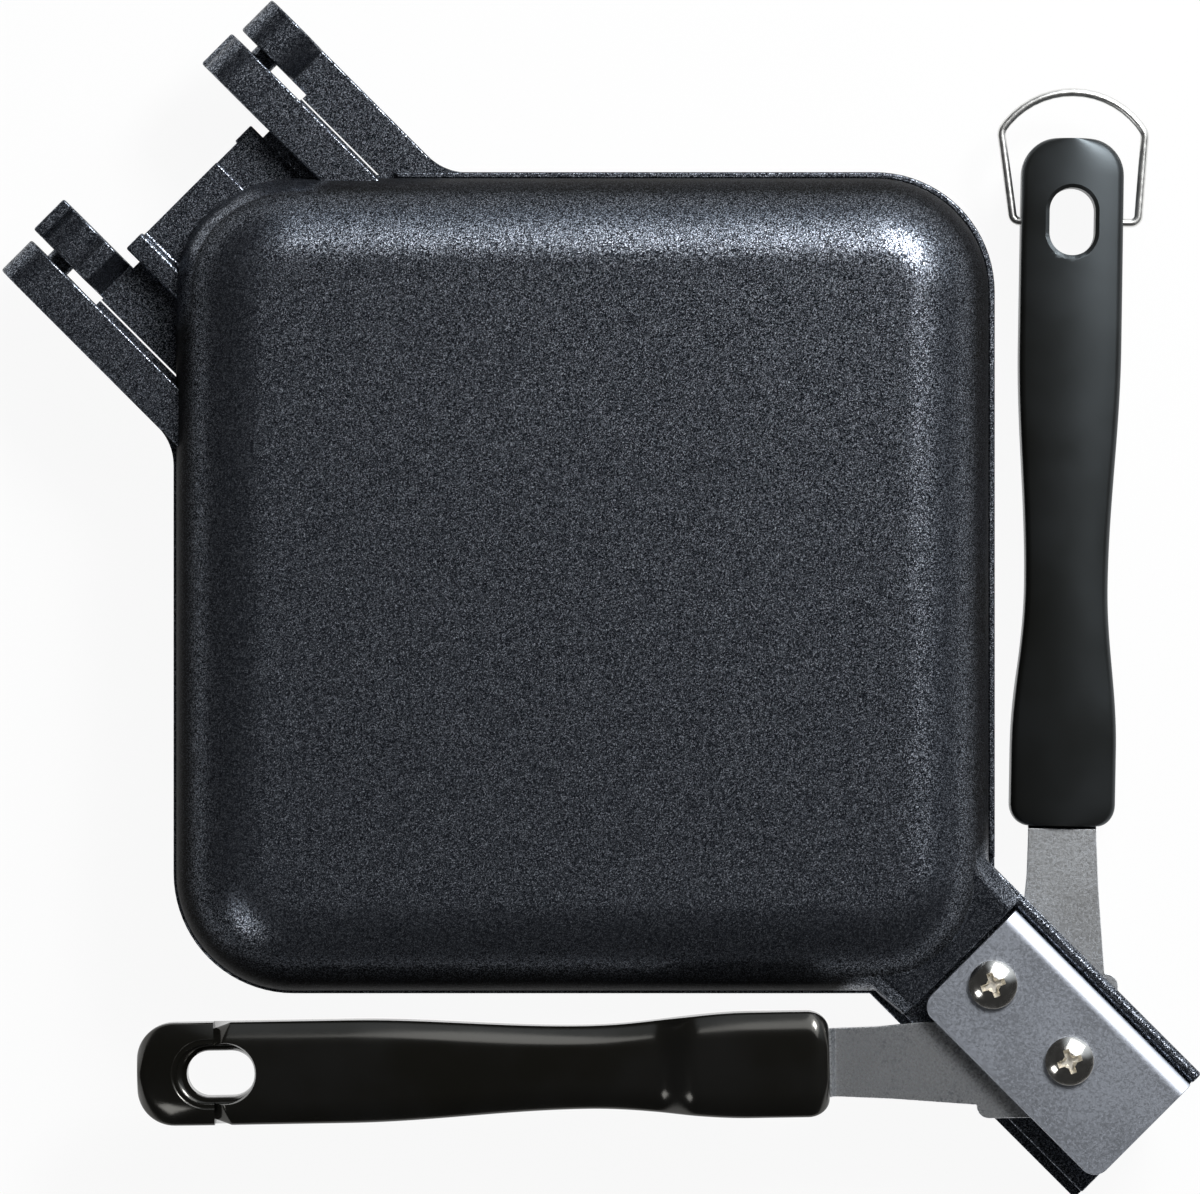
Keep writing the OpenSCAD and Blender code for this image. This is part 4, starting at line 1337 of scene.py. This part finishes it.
# How much of the floor the camera and reflections see as plain white
FLOOR_SEEN = 0.93
# The bright side of the studio: where it is, and how it fades off
BRIGHT_SIDE = (0.50, 0.78, 0.37)
BRIGHT_FADE = (0.62, 1.0)
HORIZON_FADE = (0.03, 0.20)


def make_floor(size=3.0):
    """A pale floor that keeps a soft shadow, and reads as white where the camera sees it."""
    mesh = bpy.data.meshes.new("floor")
    corners = [(-size, -size, 0), (size, -size, 0), (size, size, 0), (-size, size, 0)]
    mesh.from_pydata(corners, [], [(0, 1, 2, 3)])
    floor = added("floor", mesh)
    floor.location.z = -FLOOR_DROP
    m = Finish("floor_white")
    rays = ["Is Camera Ray", "Is Glossy Ray", "Is Transmission Ray"]
    camera, glossy, transmission = [m.add("ShaderNodeLightPath", output=ray) for ray in rays]
    seen = (camera + glossy + transmission) * FLOOR_SEEN
    paper = m.add("ShaderNodeBsdfDiffuse", values={"Color": grey(0.80)})
    glow = m.add("ShaderNodeEmission", values={"Color": grey(1.0), "Strength": 1.0})
    shader = m.add("ShaderNodeMixShader", values={0: seen, 1: paper, 2: glow})
    mesh.materials.append(m.end("ShaderNodeOutputMaterial", shader))


def make_world():
    """A dim studio with a bright side behind the main lamp and a white horizon."""
    world = bpy.data.worlds.new("studio")
    bpy.context.scene.world = world
    m = Finish("studio", world)
    direction = m.add("ShaderNodeTexCoord", output="Generated")
    toward = m.vector("DOT_PRODUCT", {0: direction, 1: BRIGHT_SIDE}, "Value")
    room = m.mix(toward.spread(*BRIGHT_FADE), grey(0.035), rgb(0.74, 0.80, 0.86))
    above = m.part(direction, "Z").spread(*HORIZON_FADE)
    colour = m.mix(above, grey(1.0), room)
    shader = m.add("ShaderNodeBackground", values={"Color": colour, "Strength": 1.0})
    m.end("ShaderNodeOutputWorld", shader)


# ---------- making ----------

make_camera()
make_pans(make_pan_coating())
make_plates(make_satin("plate_satin", (0.45, 0.48, 0.54), (0.53, 0.56, 0.62),
                       roughness=0.42, relief=0.4))
make_strips(make_satin("strip_tumbled", (0.14, 0.15, 0.17), (0.96, 0.98, 1.00),
                       roughness=0.36, relief=0.9),
            # The lower strip is the same steel as the upper one, brushed and painted in a paler
            # tone: a painted highlight
            make_satin("strip_brushed", (0.66, 0.70, 0.74), (1.0, 1.0, 1.0),
                       roughness=0.36, relief=0.8, along=(0.12, 1.0, 1.0)))
make_grips(make_grip_resin("grip_gloss", 0.12, 0.20, texture=0.30, sheen=(1.0, 0.98, 0.92)),
           make_grip_resin("grip_matt", 0.34, 0.41, texture=0.5, sheen=(0.80, 0.92, 1.0)))
make_screws(make_bright_metal("screw_nickel", (0.80, 0.78, 0.74), roughness=0.10),
            make_bright_metal("recess_struck", (0.82, 0.78, 0.70), roughness=0.50))
make_bail(make_bright_metal("bail_wire_bright", (0.86, 0.86, 0.84), roughness=0.30))
finish_washers(make_bright_metal("washer_bright", (0.62, 0.62, 0.63), roughness=0.22))

make_floor()
make_world()
softbox("main_lamp", (0.375, 0.550, 0.680), size=0.78, watts=3.8)
softbox("main_lamp_core", (0.410, 0.508, 0.666), size=0.26, watts=7.4)
softbox("low_lamp", (-0.28, -0.30, 0.34), size=0.14, watts=0.23)

bpy.context.scene.view_settings.view_transform = "Standard"
